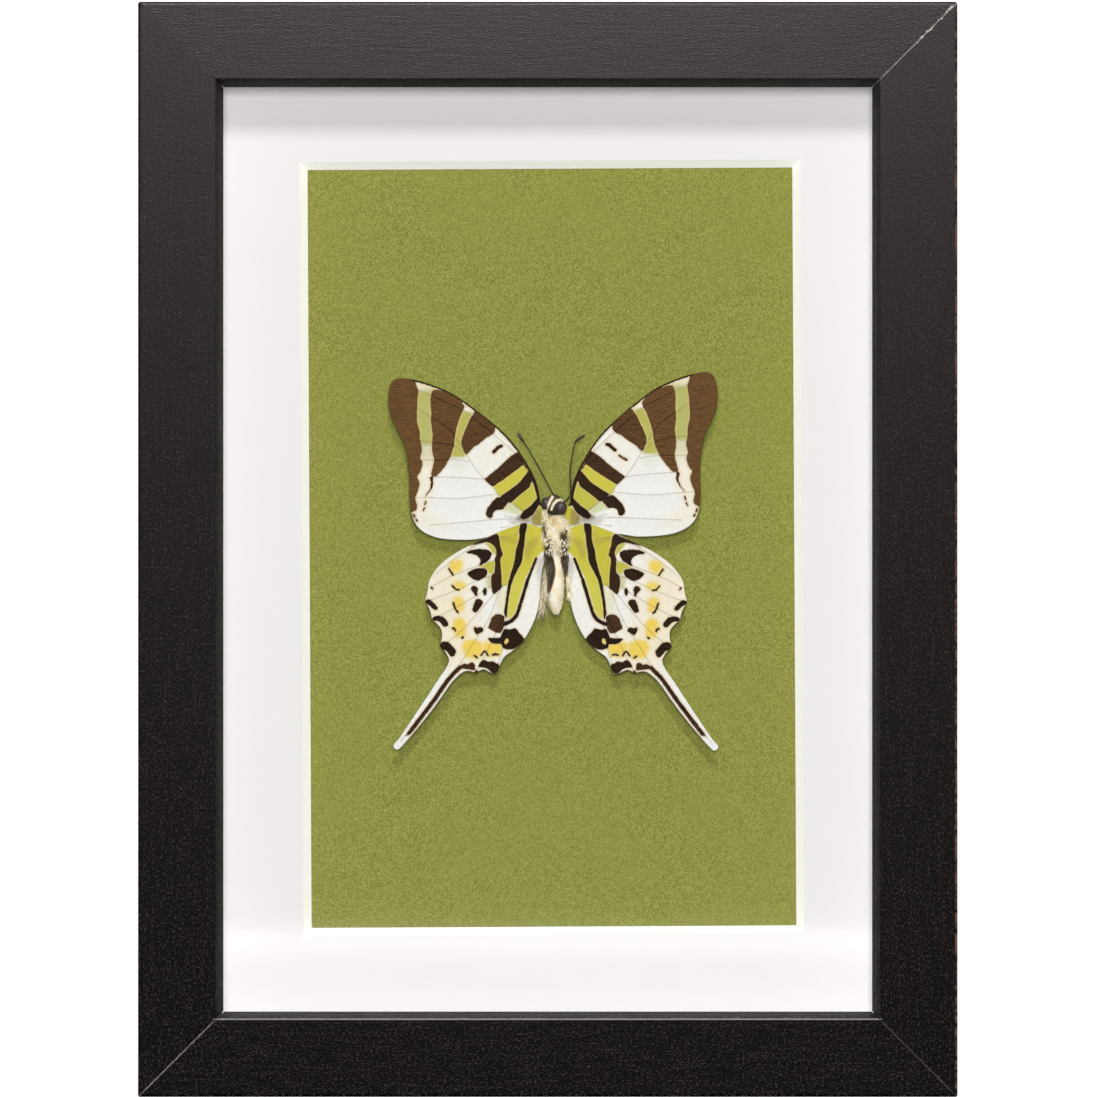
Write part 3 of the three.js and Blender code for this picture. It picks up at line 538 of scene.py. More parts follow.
def green_card():
    """Moss-green felted paper: matted fibre with pale flecks."""
    paint = Paint("green_card", Roughness=0.97, Specular_IOR_Level=0.02)
    felt = paint.noise(3.2, 3.0, 0.7)
    cloud = paint.noise(0.06, 3.0)
    shade = paint.mix(felt.ease(0.25, 0.75), tint(110, 113, 35), tint(174, 176, 93))
    shade = paint.mix(cloud.ease(0.35, 0.65) * 0.3, shade, tint(150, 150, 70))
    far, own = paint.flecks(0.42)
    fleck = (far + felt * 0.1).ease(0.16, 0.1) * own.ease(0.84, 0.88)
    shade = paint.mix(fleck * 0.5, shade, tint(196, 196, 140))
    paint.set("Base Color", shade)
    paint.bump(felt, 0.3, 0.12)
    return paint


def hardboard():
    """Brown hardboard with matted chips."""
    paint = Paint("hardboard", Roughness=0.8, Specular_IOR_Level=0.25)
    chips = paint.noise((0.5, 0.5, 1.1), 5.0, 0.7)
    cloud = paint.noise(0.05, 2.0)
    shade = paint.mix(chips.ease(0.3, 0.7), tint(96, 68, 45), tint(139, 105, 74))
    shade = paint.mix(cloud * 0.5, shade, tint(120, 90, 64))
    far, own = paint.flecks(0.6)
    shade = paint.mix(far.ease(0.3, 0.15) * own.ease(0.6, 0.8) * 0.5, shade, tint(66, 45, 30))
    paint.set("Base Color", shade)
    paint.bump(chips, 0.3, 0.1)
    return paint


def steel(name, dark, light, smooth):
    """Stamped sheet steel with rolling streaks and rubbed spots."""
    paint = Paint(name, Metallic=1.0)
    streaks = paint.noise((0.25, 2.0, 2.6), 4.0)
    stains = paint.noise(0.6, 3.0)
    paint.set("Base Color", paint.mix(streaks.ease(0.35, 0.65), dark, light))
    paint.set("Roughness", smooth + 0.22 * stains + 0.1 * streaks)
    paint.bump(streaks, 0.1, 0.03)
    return paint


def pad_foam():
    """White foam with small open cells."""
    paint = Paint("pad_foam", Roughness=0.95, Specular_IOR_Level=0.15)
    far = paint.flecks(3.0)[0]
    paint.set("Base Color", paint.mix(far.ease(0.1, 0.6), tint(190, 184, 170), tint(236, 231, 220)))
    paint.bump(far, 0.5, 0.15)
    return paint


def mitre_filler(name, shade):
    """Filler in the joint between two rails."""
    paint = Paint(name, Roughness=0.7, Specular_IOR_Level=0.3)
    grit = paint.noise(1.3, 4.0)
    dull = tuple(0.55 * c for c in shade[:3]) + (1.0,)
    paint.set("Base Color", paint.mix(grit.ease(0.3, 0.7), dull, shade))
    return paint


# Finishes of the butterfly

def wing_scales():
    """Fine scales: white to cream ground, green and yellow fields, brown-grey roots with painted shade in
    their folds, brown to black marks, veins.
    """
    paint = Paint("wing_scales", Roughness=0.8, Specular_IOR_Level=0.03)
    scales = paint.noise(3.1, 3.0, 0.65)
    tufts = paint.noise(1.4, 3.0, 0.6)
    rows = paint.noise((0.35, 0.35, 3.4), 3.0)
    ragged = (scales - 0.5) * 0.42 + (tufts - 0.5) * 0.24
    ink = paint.value("ink")
    ground = paint.mix(tufts.ease(0.3, 0.7), tint(243, 240, 234), tint(252, 250, 246))
    cream = paint.mix(tufts, tint(244, 228, 190), tint(252, 242, 216))
    shade = paint.mix(paint.value("cream"), ground, cream)
    hue = paint.ramp(
        paint.value("hue") + (scales - 0.5) * 0.12, (0.0, tint(214, 220, 172)), (0.3, tint(188, 186, 108)),
        (0.6, tint(190, 186, 92)), (0.85, tint(205, 196, 56)), (1.0, tint(219, 213, 98)))
    lime = paint.value("lime")
    shade = paint.mix((lime + ragged * (1 - lime) * lime * 4).ease(0.0, 1.0), shade, hue)
    gold = paint.mix(scales, tint(241, 200, 60), tint(251, 227, 118))
    shade = paint.mix((paint.value("gold") + ragged * 0.6).ease(0.05, 0.95), shade, gold)
    shade = paint.mix((ink + ragged * 0.7).ease(0.55, 0.2) * 0.5, shade, tint(222, 194, 138))
    # Brown-grey at the roots: partly scale colour, partly painted shade in the folds
    dusk = paint.mix(scales, tint(92, 70, 46), tint(156, 138, 112))
    shade = paint.mix(paint.value("dusk") * (0.7 + 0.6 * (tufts - 0.2)), shade, dusk)
    vein = (paint.value("vein") + ragged * 0.3).ease(0.2, 0.04)
    shade = paint.mix(vein * 0.4, shade, tint(140, 122, 92))
    tone = paint.value("tone") + (scales - 0.5) * 0.9 + (rows - 0.5) * 0.7 + vein * 0.35
    brown = paint.ramp(
        tone, (0.0, tint(116, 84, 45)), (0.25, tint(89, 61, 34)), (0.55, tint(60, 38, 20)),
        (1.0, tint(28, 18, 10)))
    shade = paint.mix((ink + ragged).ease(0.14, 0.02), shade, brown)
    paint.set("Base Color", shade)
    return paint


def body_scales():
    """Short scales on head, thorax and abdomen, from cream to black."""
    paint = Paint("body_scales", Roughness=0.75, Specular_IOR_Level=0.3)
    scales = paint.noise(3.6, 4.0)
    tone = paint.value("tone") + (scales - 0.5) * 0.5
    paint.set("Base Color", paint.ramp(
        tone, (0.0, tint(255, 252, 246)), (0.16, tint(255, 242, 212)), (0.35, tint(246, 224, 166)),
        (0.6, tint(128, 100, 62)), (1.0, tint(30, 21, 14))))
    paint.bump(scales, 0.5, 0.08)
    return paint


def body_hair():
    """Hairs that run from white through straw and olive to black."""
    paint = Paint("body_hair", Roughness=0.6, Specular_IOR_Level=0.35)
    paint.set("Base Color", paint.ramp(
        paint.value("tone"), (0.0, (0.98, 0.91, 0.76, 1)), (0.3, (0.9, 0.76, 0.46, 1)),
        (0.5, tint(190, 174, 112)), (0.7, tint(112, 90, 54)), (1.0, tint(28, 20, 13))))
    return paint


def horn(name, dark, light):
    """Dark horny skin with fine rings and a dusting of pale scales."""
    paint = Paint(name, Specular_IOR_Level=0.2)
    rings = paint.noise((2.0, 2.0, 5.0), 3.0)
    dust = paint.noise(5.0, 2.0)
    skin = paint.mix(rings, dark, tint(46, 33, 23))
    paint.set("Base Color", paint.mix(dust.ease(0.62, 0.72) * 0.7, skin, light))
    paint.set("Roughness", 0.32 + 0.3 * rings)
    paint.bump(rings, 0.4, 0.05)
    return paint


def eye_facets():
    """Brown-black eye with tiny facets."""
    paint = Paint("eye_facets", Roughness=0.5, Specular_IOR_Level=0.2)
    far = paint.flecks(9.0)[0]
    cloud = paint.noise(0.8, 2.0)
    paint.set("Base Color", paint.mix(cloud, tint(44, 32, 32), tint(78, 58, 54)))
    paint.bump(far, 0.4, 0.03)
    return paint


# Outlines and fields on the flat wing

def spline(points, step=0.25):
    """The smooth line that the CAD draws through these points, with a point every step."""
    points = np.array(points, float)
    ends = np.vstack((points[:1], points, points[-1:]))
    line = []
    for a, b, c, d in zip(ends, ends[1:], ends[2:], ends[3:]):
        count = max(2, int(np.linalg.norm(c - b) / step))
        t = np.arange(count)[:, None] / count
        line.append(b + 0.5 * t * (c - a + t * (2 * a - 5 * b + 4 * c - d + t * (3 * (b - c) + d - a))))
    return np.vstack(line + [points[-1:]])


def even(line, step):
    """The same line with points at equal steps."""
    along = np.concatenate(([0], np.cumsum(np.linalg.norm(np.diff(line, axis=0), axis=1))))
    at = np.linspace(0, along[-1], max(2, int(round(along[-1] / step)) + 1))
    return np.column_stack([np.interp(at, along, line[:, k]) for k in range(line.shape[1])])


def rounded(points, step=0.14, passes=3):
    """A closed edge with its corners taken off."""
    points = np.array(points, float)
    loop = even(np.vstack((points, points[:1])), step)[:-1]
    for _ in range(passes):
        loop = (np.roll(loop, 1, axis=0) + 2 * loop + np.roll(loop, -1, axis=0)) / 4
    return loop


def closed(loop):
    return np.vstack((loop, loop[:1]))


def inside(points, loop):
    x, y = points.T
    odd = np.zeros(len(points), bool)
    for (x0, y0), (x1, y1) in zip(loop, np.roll(loop, -1, axis=0)):
        if y0 != y1:
            odd ^= ((y0 > y) != (y1 > y)) & (x < (x1 - x0) * (y - y0) / (y1 - y0) + x0)
    return odd


def gap(points, line, reach=2.0):
    """Distance from each point to a line, counted up to reach."""
    far = np.full(len(points), float(reach))
    close = np.all((points > line.min(0) - reach) & (points < line.max(0) + reach), axis=1)
    for chunk in np.array_split(np.flatnonzero(close), max(1, close.sum() // 4000)):
        start, run = line[:-1], np.diff(line, axis=0)
        off = points[chunk][:, None] - start
        share = np.clip((off * run).sum(2) / np.maximum((run ** 2).sum(1), 1e-12), 0, 1)
        near = np.linalg.norm(off - share[..., None] * run, axis=2)
        far[chunk] = np.minimum(reach, near.min(1))
    return far


def depth_in(points, edge, reach=2.0):
    """Distance to an edge, below zero inside it."""
    loop = rounded(edge)
    far = gap(points, closed(loop), reach)
    return np.where(inside(points, loop), -far, far)


def smooth(x):
    x = np.clip(x, 0, 1)
    return x * x * (3 - 2 * x)


def field(points, zones):
    """The strongest of several soft-edged zones at each point."""
    level = np.zeros(len(points))
    for soft, strength, edge in zones:
        level = np.maximum(level, strength * smooth(0.5 - depth_in(points, edge, soft) / (2 * soft)))
    return level


# Meshes

class Form:
    """A mesh in the making: points in millimetres, faces, and values that the points carry."""

    def __init__(self, *values):
        self.points, self.faces, self.count = [], [], 0
        self.values = {name: [] for name in values}

    def add(self, points, faces, **values):
        points = np.asarray(points, float).reshape(-1, 3)
        for face in faces:
            self.faces.append([i + self.count for i in face])
        self.points.append(points)
        for name, kept in self.values.items():
            kept.append(np.broadcast_to(np.asarray(values[name], float), len(points)))
        self.count += len(points)

    def piece(self, name, paint, slot, *nodes):
        """Turns the form into a piece of the object that stands for these CAD nodes."""
        mesh = bpy.data.meshes.new(name)
        mesh.from_pydata(np.vstack(self.points) * MM, [], self.faces)
        mesh.polygons.foreach_set("use_smooth", [True] * len(mesh.polygons))
        for value, kept in self.values.items():
            carried = mesh.attributes.new(value, "FLOAT", "POINT")
            carried.data.foreach_set("value", np.concatenate(kept))
        mesh.materials.append(paint.material)
        obj = bpy.data.objects.new(name, mesh)
        bpy.context.collection.objects.link(obj)
        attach(obj, "root")
        if nodes:
            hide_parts(*nodes)
        return obj


def grid_faces(rows, columns, wrap=True):
    """Quads between rows of points; each row closes on itself if it wraps."""
    steps = columns if wrap else columns - 1
    return [
        (r * columns + c, r * columns + (c + 1) % columns,
         (r + 1) * columns + (c + 1) % columns, (r + 1) * columns + c)
        for r in range(rows - 1) for c in range(steps)]


def tube(line, radii, sides=10):
    """Points and faces of a round-ended tube along a line."""
    line, radii = np.asarray(line, float), np.asarray(radii, float)
    aim = np.gradient(line, axis=0)
    aim /= np.linalg.norm(aim, axis=1)[:, None]
    first = np.cross(aim, (0.31, 0.9, 0.27))
    first /= np.linalg.norm(first, axis=1)[:, None]
    second = np.cross(aim, first)
    turn = np.linspace(0, 2 * math.pi, sides, endpoint=False)[None, :, None]
    spokes = np.cos(turn) * first[:, None] + np.sin(turn) * second[:, None]
    rings = line[:, None] + radii[:, None, None] * spokes
    ends = line[:1] - aim[:1] * radii[0] * 0.6, line[-1:] + aim[-1:] * radii[-1] * 0.6
    points = np.vstack((rings.reshape(-1, 3), *ends))
    faces = grid_faces(len(line), sides)
    start, end = len(points) - 2, len(points) - 1
    last = (len(line) - 1) * sides
    faces += [(start, (c + 1) % sides, c) for c in range(sides)]
    faces += [(end, last + c, last + (c + 1) % sides) for c in range(sides)]
    return points, faces


def ball(centre, radii, rings=22):
    """Points and faces of a rounded body with its poles along v."""
    tall = np.linspace(0, math.pi, rings + 1)[1:-1]
    turn = np.linspace(0, 2 * math.pi, 2 * rings, endpoint=False)
    skin = [(math.sin(t) * math.cos(a), math.sin(t) * math.sin(a), math.cos(t)) for t in tall for a in turn]
    points = np.array(skin + [(0, 0, 1), (0, 0, -1)]) * radii + centre
    columns = 2 * rings
    faces = grid_faces(len(tall), columns)
    top, bottom, last = len(points) - 2, len(points) - 1, (len(tall) - 1) * columns
    faces += [(top, (c + 1) % columns, c) for c in range(columns)]
    faces += [(bottom, last + c, last + (c + 1) % columns) for c in range(columns)]
    return points, faces


def lumpy(points, height, per_mm, seed):
    """Moves points by a few low waves, so that no surface is quite regular."""
    rng = np.random.default_rng(seed)
    moved = points.copy()
    for _ in range(6):
        wave = rng.normal(0, per_mm * 6.28, 3)
        moved += rng.normal(0, height, 3) * np.sin(points @ wave + rng.uniform(0, 6.28))[:, None]
    return moved


def strands(form, roots, aims, lengths, width, tones, rng):
    """Tapered hairs that bend a little on the way."""
    n = len(roots)
    aims = aims / np.linalg.norm(aims, axis=1)[:, None]
    flat = np.cross(aims, rng.normal(0, 1, (n, 3)))
    flat *= (width / 2 * rng.uniform(0.7, 1.3, n) / np.linalg.norm(flat, axis=1))[:, None]
    bend = rng.normal(0, 0.14, (n, 3)) * lengths[:, None]
    middle = roots + aims * lengths[:, None] * 0.5
    tip = roots + aims * lengths[:, None] + bend
    blades = np.stack((
        roots - flat, roots + flat, middle - flat * 0.75 + bend * 0.2, middle + flat * 0.75 + bend * 0.2,
        tip), axis=1)
    faces = [face for i in range(0, 5 * n, 5) for face in ((i, i + 1, i + 3, i + 2), (i + 2, i + 3, i + 4))]
    form.add(blades, faces, tone=np.repeat(tones, 5))


# The frame

def finish_node(name, paint):
    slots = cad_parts[name].data.materials
    slots.clear()
    slots.append(paint.material)


def fill_mitre(name, sign_x, sign_z, shade):
    """A thin web of filler between two rails, a hair below their faces."""
    section = [(-16.7, 0.9), (-16.9, 1.6), (-16.9, 15.9), (-16.3, 16.6), (-15.3, 17.1), (-12.1, 18.0),
               (-12.1, 13.6), (16.8, 13.6), (16.8, 0.2), (-15.9, 0.2)]
    corner = np.array((sign_x * FRAME_W / 2, 0, MID_Z + sign_z * MID_Z))
    inward = np.array((-sign_x, 0, -sign_z))
    aside = np.array((sign_x, 0, -sign_z)) * 0.105
    middle = np.array([corner + inward * w + (0, y, 0) for y, w in section])
    n = len(section)
    form = Form()
    faces = [tuple(range(n)), tuple(range(2 * n - 1, n - 1, -1))]
    faces += [(i, i + n, (i + 1) % n + n, (i + 1) % n) for i in range(n)]
    form.add(np.vstack((middle - aside, middle + aside)), faces)
    web = form.piece(f"mitre_{name}", mitre_filler(f"mitre_filler_{name}", shade), "rail")
    web.data.polygons.foreach_set("use_smooth", [False] * len(web.data.polygons))


def card_fibres():
    """Loose pale fibres and specks that lie on the green card."""
    rng = np.random.default_rng(41)
    form = Form("tone")
    spots = [((-29.6, 102.1), 3.2, 0.9)]
    spots += [
        ((rng.uniform(-48, 50), rng.uniform(40, 196)), rng.uniform(0.2, 0.8), rng.uniform(-1, 1))
        for _ in range(44)]
    for (x, z), length, curl in spots:
        turn = rng.uniform(0, 6.28) if length < 3 else 2.2
        t = np.linspace(-0.5, 0.5, 9)
        heading = turn + curl * 2.4 * t
        run = np.cumsum(np.column_stack((np.cos(heading), 0 * t, np.sin(heading))), axis=0) * length / 9
        line = run + (x, 11.7, z)
        points, faces = tube(line, 0.045 * np.sin(np.linspace(0.35, 2.8, 9)), 5)
        form.add(points, faces, tone=rng.uniform(0.35, 0.5))
    return form.piece("card_fibres", body_hair(), "backing_card")


def dress_frame():
    across, upright = rail_foil("across"), rail_foil("upright")
    board, tabs = foam_board(), steel("tab_steel", tint(34, 34, 36), tint(58, 58, 60), 0.3)
    zinc = steel("hanger_zinc", tint(158, 160, 162), tint(204, 206, 206), 0.22)
    for end in ("top", "bottom"):
        finish_node(f"rail_{end}", across)
        finish_node(f"spacer_{end}", board)
        for half in ("left", "right"):
            finish_node(f"tab_{end}_{half}", tabs)
    for side in ("left", "right"):
        finish_node(f"rail_{side}", upright)
        finish_node(f"spacer_{side}", board)
        finish_node(f"rivet_{side}", zinc)
        for half in ("upper", "lower"):
            finish_node(f"tab_{side}_{half}", tabs)
    finish_node("hanger", zinc)
    finish_node("glass", picture_glass())
    finish_node("mat", mat_board())
    finish_node("backing_card", green_card())
    finish_node("back_panel", hardboard())
    finish_node("mounting_pad", pad_foam())
    fill_mitre("top_right", 1, 1, tint(150, 144, 140))
    fill_mitre("top_left", -1, 1, tint(30, 27, 27))
    fill_mitre("bottom_left", -1, -1, tint(120, 112, 108))
    fill_mitre("bottom_right", 1, -1, tint(72, 66, 64))
    card_fibres()


# The butterfly

def wing_rim(outline):
    stretches = [spline(stretch)[:-1] for stretch in outline[:-1]] + [spline(outline[-1])]
    return even(closed(np.vstack(stretches)), 0.25)[:-1]


def wing_net(outline, lines, pitch=0.22):
    """Triangles over a flat wing that follow its edge and every thin line on it."""
    rim = wing_rim(outline)
    low, high = rim.min(0), rim.max(0)
    rows = np.arange(low[1], high[1], pitch * 0.866)
    lattice = np.vstack([
        np.column_stack((x := np.arange(low[0] + (i % 2) * pitch / 2, high[0], pitch), np.full(len(x), row)))
        for i, row in enumerate(rows)])
    lattice = lattice[inside(lattice, rim) & (gap(lattice, closed(rim), 1) > 0.6 * pitch)]
    routes = [even(spline(line), pitch) for line in lines]
    for route in routes:
        lattice = lattice[gap(lattice, route, 1) > 0.45 * pitch]
    points, edges = [rim], [(i, (i + 1) % len(rim)) for i in range(len(rim))]
    count = len(rim)
    for route in routes:
        route = route[inside(route, rim) & (gap(route, closed(rim), 1) > 0.3 * pitch)]
        points.append(route)
        edges += [(count + i, count + i + 1) for i in range(len(route) - 1)]
        count += len(route)
    flat = np.vstack(points + [lattice])
    net = geometry.delaunay_2d_cdt([Vector(p) for p in flat], edges, [], 1, 1e-5, False)
    flat, faces = np.array([tuple(p) for p in net[0]]), np.array([tuple(face) for face in net[2]])
    faces = faces[inside(flat[faces].mean(1), rim)]
    used, faces = np.unique(faces, return_inverse=True)
    return flat[used], faces.reshape(-1, 3)


def wing_chart(outline, dark, lines, veins, lime, cream, gold, dusk, spots):
    """A flat right wing: its triangles, its rim and the colour fields at its points."""
    flat, faces = wing_net(outline, [line[2] for line in lines] + veins)
    green, hue, weight = np.zeros(len(flat)), np.full(len(flat), 5e-4), np.full(len(flat), 1e-3)
    for colour, soft, strength, edge in lime:
        level = strength * smooth(0.5 - depth_in(flat, edge, soft) / (2 * soft))
        hue += colour * level ** 2
        weight += level ** 2
        green = np.maximum(green, level)
    hue /= weight
    values = {
        "lime": green, "hue": hue,
        "cream": field(flat, cream), "gold": field(flat, gold), "dusk": field(flat, dusk),
        "vein": np.min([gap(flat, even(spline(route), 0.3), 3.0) for route in veins], axis=0)}
    marks = [(black, depth_in(flat, edge), "left right") for black, edge in dark]
    marks += [
        (black, gap(flat, even(spline(route), 0.15)) - wide / 2, sides)
        for black, wide, route, sides in lines]
    bare = [depth_in(flat, edge) for edge in spots]
    return flat, faces, gap(flat, closed(wing_rim(outline)), 0.8), values, marks, bare


def wing(name, side, chart, y, pose):
    """One wing: a thin closed sheet with raised veins that carries its colour fields."""
    flat, faces, rim, values, marks, bare = chart
    ink, tone = np.full(len(flat), 2.0), np.zeros(len(flat))
    for black, far, sides in marks:
        if side in sides.split():
            tone = np.where(far < ink, black, tone)
            ink = np.minimum(ink, far)
    for far in bare:
        ink = np.maximum(ink, -far)
    values = {**values, "ink": ink, "tone": tone}
    sign = SIDES[side]
    turn, reach, spread = pose
    angle = math.radians(turn)
    off = (flat - WING_ROOT) * (spread, 1)
    out = WING_ROOT[0] + off[:, 0] * math.cos(angle) - off[:, 1] * math.sin(angle) + reach
    up = WING_ROOT[1] + off[:, 0] * math.sin(angle) + off[:, 1] * math.cos(angle)
    thick = 0.07 + 0.1 * smooth(rim / 0.5)
    vein = values["vein"]
    sag = 0.12 * (1 - np.exp(-(vein / 1.3) ** 2)) - 0.06 * np.exp(-(vein / 0.13) ** 2)
    middle = y - out * math.tan(WING_TILT) + sag * smooth(rim / 0.6)
    front = np.column_stack((sign * out, middle - thick / 2, up)) + SPECIMEN
    back = np.column_stack((sign * out, middle + thick / 2, up)) + SPECIMEN
    n = len(flat)
    first, second = flat[faces[:, 1]] - flat[faces[:, 0]], flat[faces[:, 2]] - flat[faces[:, 0]]
    area = first[:, 0] * second[:, 1] - first[:, 1] * second[:, 0]
    faces = np.where((area * sign > 0)[:, None], faces, faces[:, ::-1])
    sides = np.vstack((faces[:, (0, 1)], faces[:, (1, 2)], faces[:, (2, 0)])).tolist()
    known = {tuple(pair) for pair in sides}
    walls = [(q, p, p + n, q + n) for p, q in sides if (q, p) not in known]
    form = Form(*values)
    form.add(
        np.vstack((front, back)), faces.tolist() + (faces[:, ::-1] + n).tolist() + walls,
        **{key: np.tile(value, 2) for key, value in values.items()})
    obj = form.piece(f"{name}_{side}", WING_SCALES, "butterfly", "butterfly")
    spot = (flat - flat.min(0)) / (flat.max(0) - flat.min(0)) * 0.96 + 0.02
    spot = np.vstack((spot, 0.5 + (spot - 0.5) * 0.99))
    bake = obj.data.uv_layers.new(name="OFBake")
    corner = np.empty(len(obj.data.loops), int)
    obj.data.loops.foreach_get("vertex_index", corner)
    bake.data.foreach_set("uv", spot[corner].ravel())
    return obj


ABDOMEN = [
    (0.01, 2.5), (1.35, 3.2), (1.4, 5), (1.3, 6.5), (1.5, 9), (1.65, 12), (1.65, 14.5),
    (1.3, 16.2), (0.68, 17.5), (0.05, 18.3),
]
ABDOMEN_LEAN = math.radians(1.6)
ABDOMEN_SIDES = 40
BODY_Y = 4.2
THORAX = (0.05, BODY_Y, -0.9)
HEAD = (-0.4, 3.5, 5.4)
LEGS = [
    [(-1.3, 2.4, 0.7), (-2.4, 2.5, -0.5), (-1.9, 2.0, -2)],
    [(-0.9, 1.6, -1.9), (-2.2, 1.7, -2.9), (-1.3, 1.3, -3.8)],
    [(-0.8, 1.9, -3.1), (-2, 2, -4.2), (-1, 1.7, -5)],
    [(1.1, 2.4, 1), (2.3, 2.3, -0.4), (1.4, 1.7, -1.9)],
    [(0.8, 1.6, -1.8), (2.3, 1.7, -2.7), (1.5, 1.3, -4.1)],
    [(0.7, 1.9, -3.2), (2.1, 2, -4), (1.2, 1.6, -5.1)],
]
# Cream of the underside seen from the front; the sides beyond it are dark
CREAM_KEEL = [
    (-1.7, -4.6), (-0.5, -6.2), (-0.35, -7.3), (-0.15, -8.6), (-0.25, -9.9), (-0.5, -11.1),
    (-1, -12.4), (-1.4, -13.7),
    (-1.9, -15), (-2.2, -17), (-0.4, -19), (2, -17), (1.8, -14.5), (1.75, -12.4), (1.7, -11.1), (1.7, -9.9),
    (1.65, -8.6), (1.15, -7.3), (0.95, -6.2), (1.9, -4.6),
]
HEAD_STRIPES = [
    (0.6, [(-0.75, 7.1), (-1.3, 6.2), (-1.9, 4.9), (-2.3, 4)]),
    (0.55, [(1.7, 6.3), (0.5, 6.5), (-0.5, 5.6), (-1, 4.4)]),
]
ANTENNAE = {
    "left": [(-0.4, 3.4, 6.8), (-0.8, 3.2, 8), (-3.7, 3.4, 13.4), (-5.6, 3.6, 16.8), (-8.2, 3.9, 20.9)],
    "right": [(1.3, 3.4, 5.6), (2.7, 3.1, 6.9), (3.2, 3.1, 8.8), (3.07, 3.2, 12.9), (3.9, 3.5, 17.9),
              (4.6, 3.7, 19.4), (6.1, 3.8, 20.45)],
}


def head_tones(points):
    """White on the stripes of the head seen from the front, black off them."""
    flat = points[:, (0, 2)]
    return 1 - 0.97 * np.max([
        smooth(1.5 - gap(flat, even(spline(route), 0.15), 4.0) / (width / 2))
        for width, route in HEAD_STRIPES], axis=0)


def abdomen():
    profile = even(spline(ABDOMEN, 0.2), 0.22)
    turn = np.linspace(0, 2 * math.pi, ABDOMEN_SIDES, endpoint=False)
    rings = profile[:, 0] * (1 + 0.035 * np.abs(np.sin(profile[:, 1] * 1.75)))
    points = np.stack((
        np.outer(rings, np.cos(turn)), np.outer(rings, np.sin(turn)),
        np.repeat(-profile[:, 1:], ABDOMEN_SIDES, axis=1)), axis=2)
    points = points.reshape(-1, 3)
    u = points[:, 0] * math.cos(ABDOMEN_LEAN) + points[:, 2] * math.sin(ABDOMEN_LEAN) + 0.2
    v = points[:, 2] * math.cos(ABDOMEN_LEAN) - points[:, 0] * math.sin(ABDOMEN_LEAN)
    points = np.column_stack((u, points[:, 1] + BODY_Y, v))
    faces = [face[::-1] for face in grid_faces(len(profile), ABDOMEN_SIDES)]
    last = (len(profile) - 1) * ABDOMEN_SIDES
    faces += [tuple(range(ABDOMEN_SIDES)), tuple(range(last + ABDOMEN_SIDES - 1, last - 1, -1))]
    return points, faces


def body_tones(points):
    """From cream to black over thorax and abdomen, seen from the front."""
    u, v = points[:, 0], points[:, 2]
    tone = 0.13 + 0.08 * np.sin(2.1 * u + 1.3 * v)
    tone += 0.2 * np.exp(-((u / 1.2) ** 2 + ((v - 2.2) / 1.1) ** 2))
    dark = smooth(0.5 + depth_in(points[:, (0, 2)], CREAM_KEEL) / 0.5) * smooth((-4.2 - v) / 0.8)
    left = smooth((v + 14.2) / 1.5)
    right = smooth((v + 11.8) / 2.0)
    tone += 1.1 * dark * np.where(u < 0.2, left, right)
    for ring in (-12.9, -14.4, -15.7, -16.9):
        tone += 0.14 * np.exp(-((v - ring + 0.05 * u * u) / 0.12) ** 2)
    blots = ((1.45, -1.2, 0.7), (-1.7, -3.2, 0.55), (1.5, -3.4, 0.6), (-2.3, 0.6, 0.4))
    for at_u, at_v, size in blots:
        tone += 0.85 * np.exp(-((u - at_u) ** 2 + ((v - at_v) / 1.4) ** 2) / size ** 2)
    return np.clip(tone, 0, 1)


def butterfly_body():
    form = Form("tone")
    trunk = ((ball(THORAX, (2.5, 2.75, 4.35)), 0.05, 3), (abdomen(), 0.02, 5))
    for (points, faces), height, seed in trunk:
        points = lumpy(points, height, 0.35, seed)
        form.add(points + SPECIMEN, faces, tone=body_tones(points))
    points, faces = ball(HEAD, (2.0, 1.8, 2.2))
    form.add(points + SPECIMEN, faces, tone=head_tones(points))
    for u in (-1.5, -0.4):
        points, faces = ball((u, 1.9, 5), (0.42, 0.55, 1.35), 14)
        form.add(points + SPECIMEN, faces, tone=head_tones(points))
    return form.piece("body", body_scales(), "butterfly", "butterfly")


def eyes():
    form = Form()
    pair = (((1, 2.8, 4.7), (1.38, 1.28, 1.42)), ((-2.2, 3.1, 5.7), (1.05, 1.25, 1.35)))
    for centre, radii in pair:
        points, faces = ball(centre, radii, 26)
        form.add(points + SPECIMEN, faces)
    return form.piece("eyes", eye_facets(), "butterfly", "butterfly")


def limbs():
    form = Form()
    for leg in LEGS:
        line = even(spline(leg, 0.15), 0.18)
        share = np.linspace(0, 1, len(line))
        radii = 0.2 - 0.1 * share + 0.04 * np.exp(-((share - 0.45) / 0.12) ** 2)
        points, faces = tube(line, radii, 9)
        form.add(points + SPECIMEN, faces)
    skin = horn("leg_skin", tint(34, 25, 18), tint(236, 226, 204))
    return form.piece("legs", skin, "butterfly", "butterfly")


def antennae():
    form = Form()
    for route in ANTENNAE.values():
        line = even(spline(route, 0.2), 0.2)
        share = np.linspace(0, 1, len(line))
        rings = 1 + 0.06 * np.sin(np.arange(len(line)) * 2.2)
        club = smooth((share - 0.82) / 0.1) * smooth((1.03 - share) / 0.06)
        radii = (0.165 - 0.03 * share + 0.17 * club) * rings
        points, faces = tube(line, radii, 10)
        form.add(points + SPECIMEN, faces)
    skin = horn("antenna_skin", tint(10, 7, 5), tint(70, 56, 42))
    return form.piece("antennae", skin, "butterfly", "butterfly")


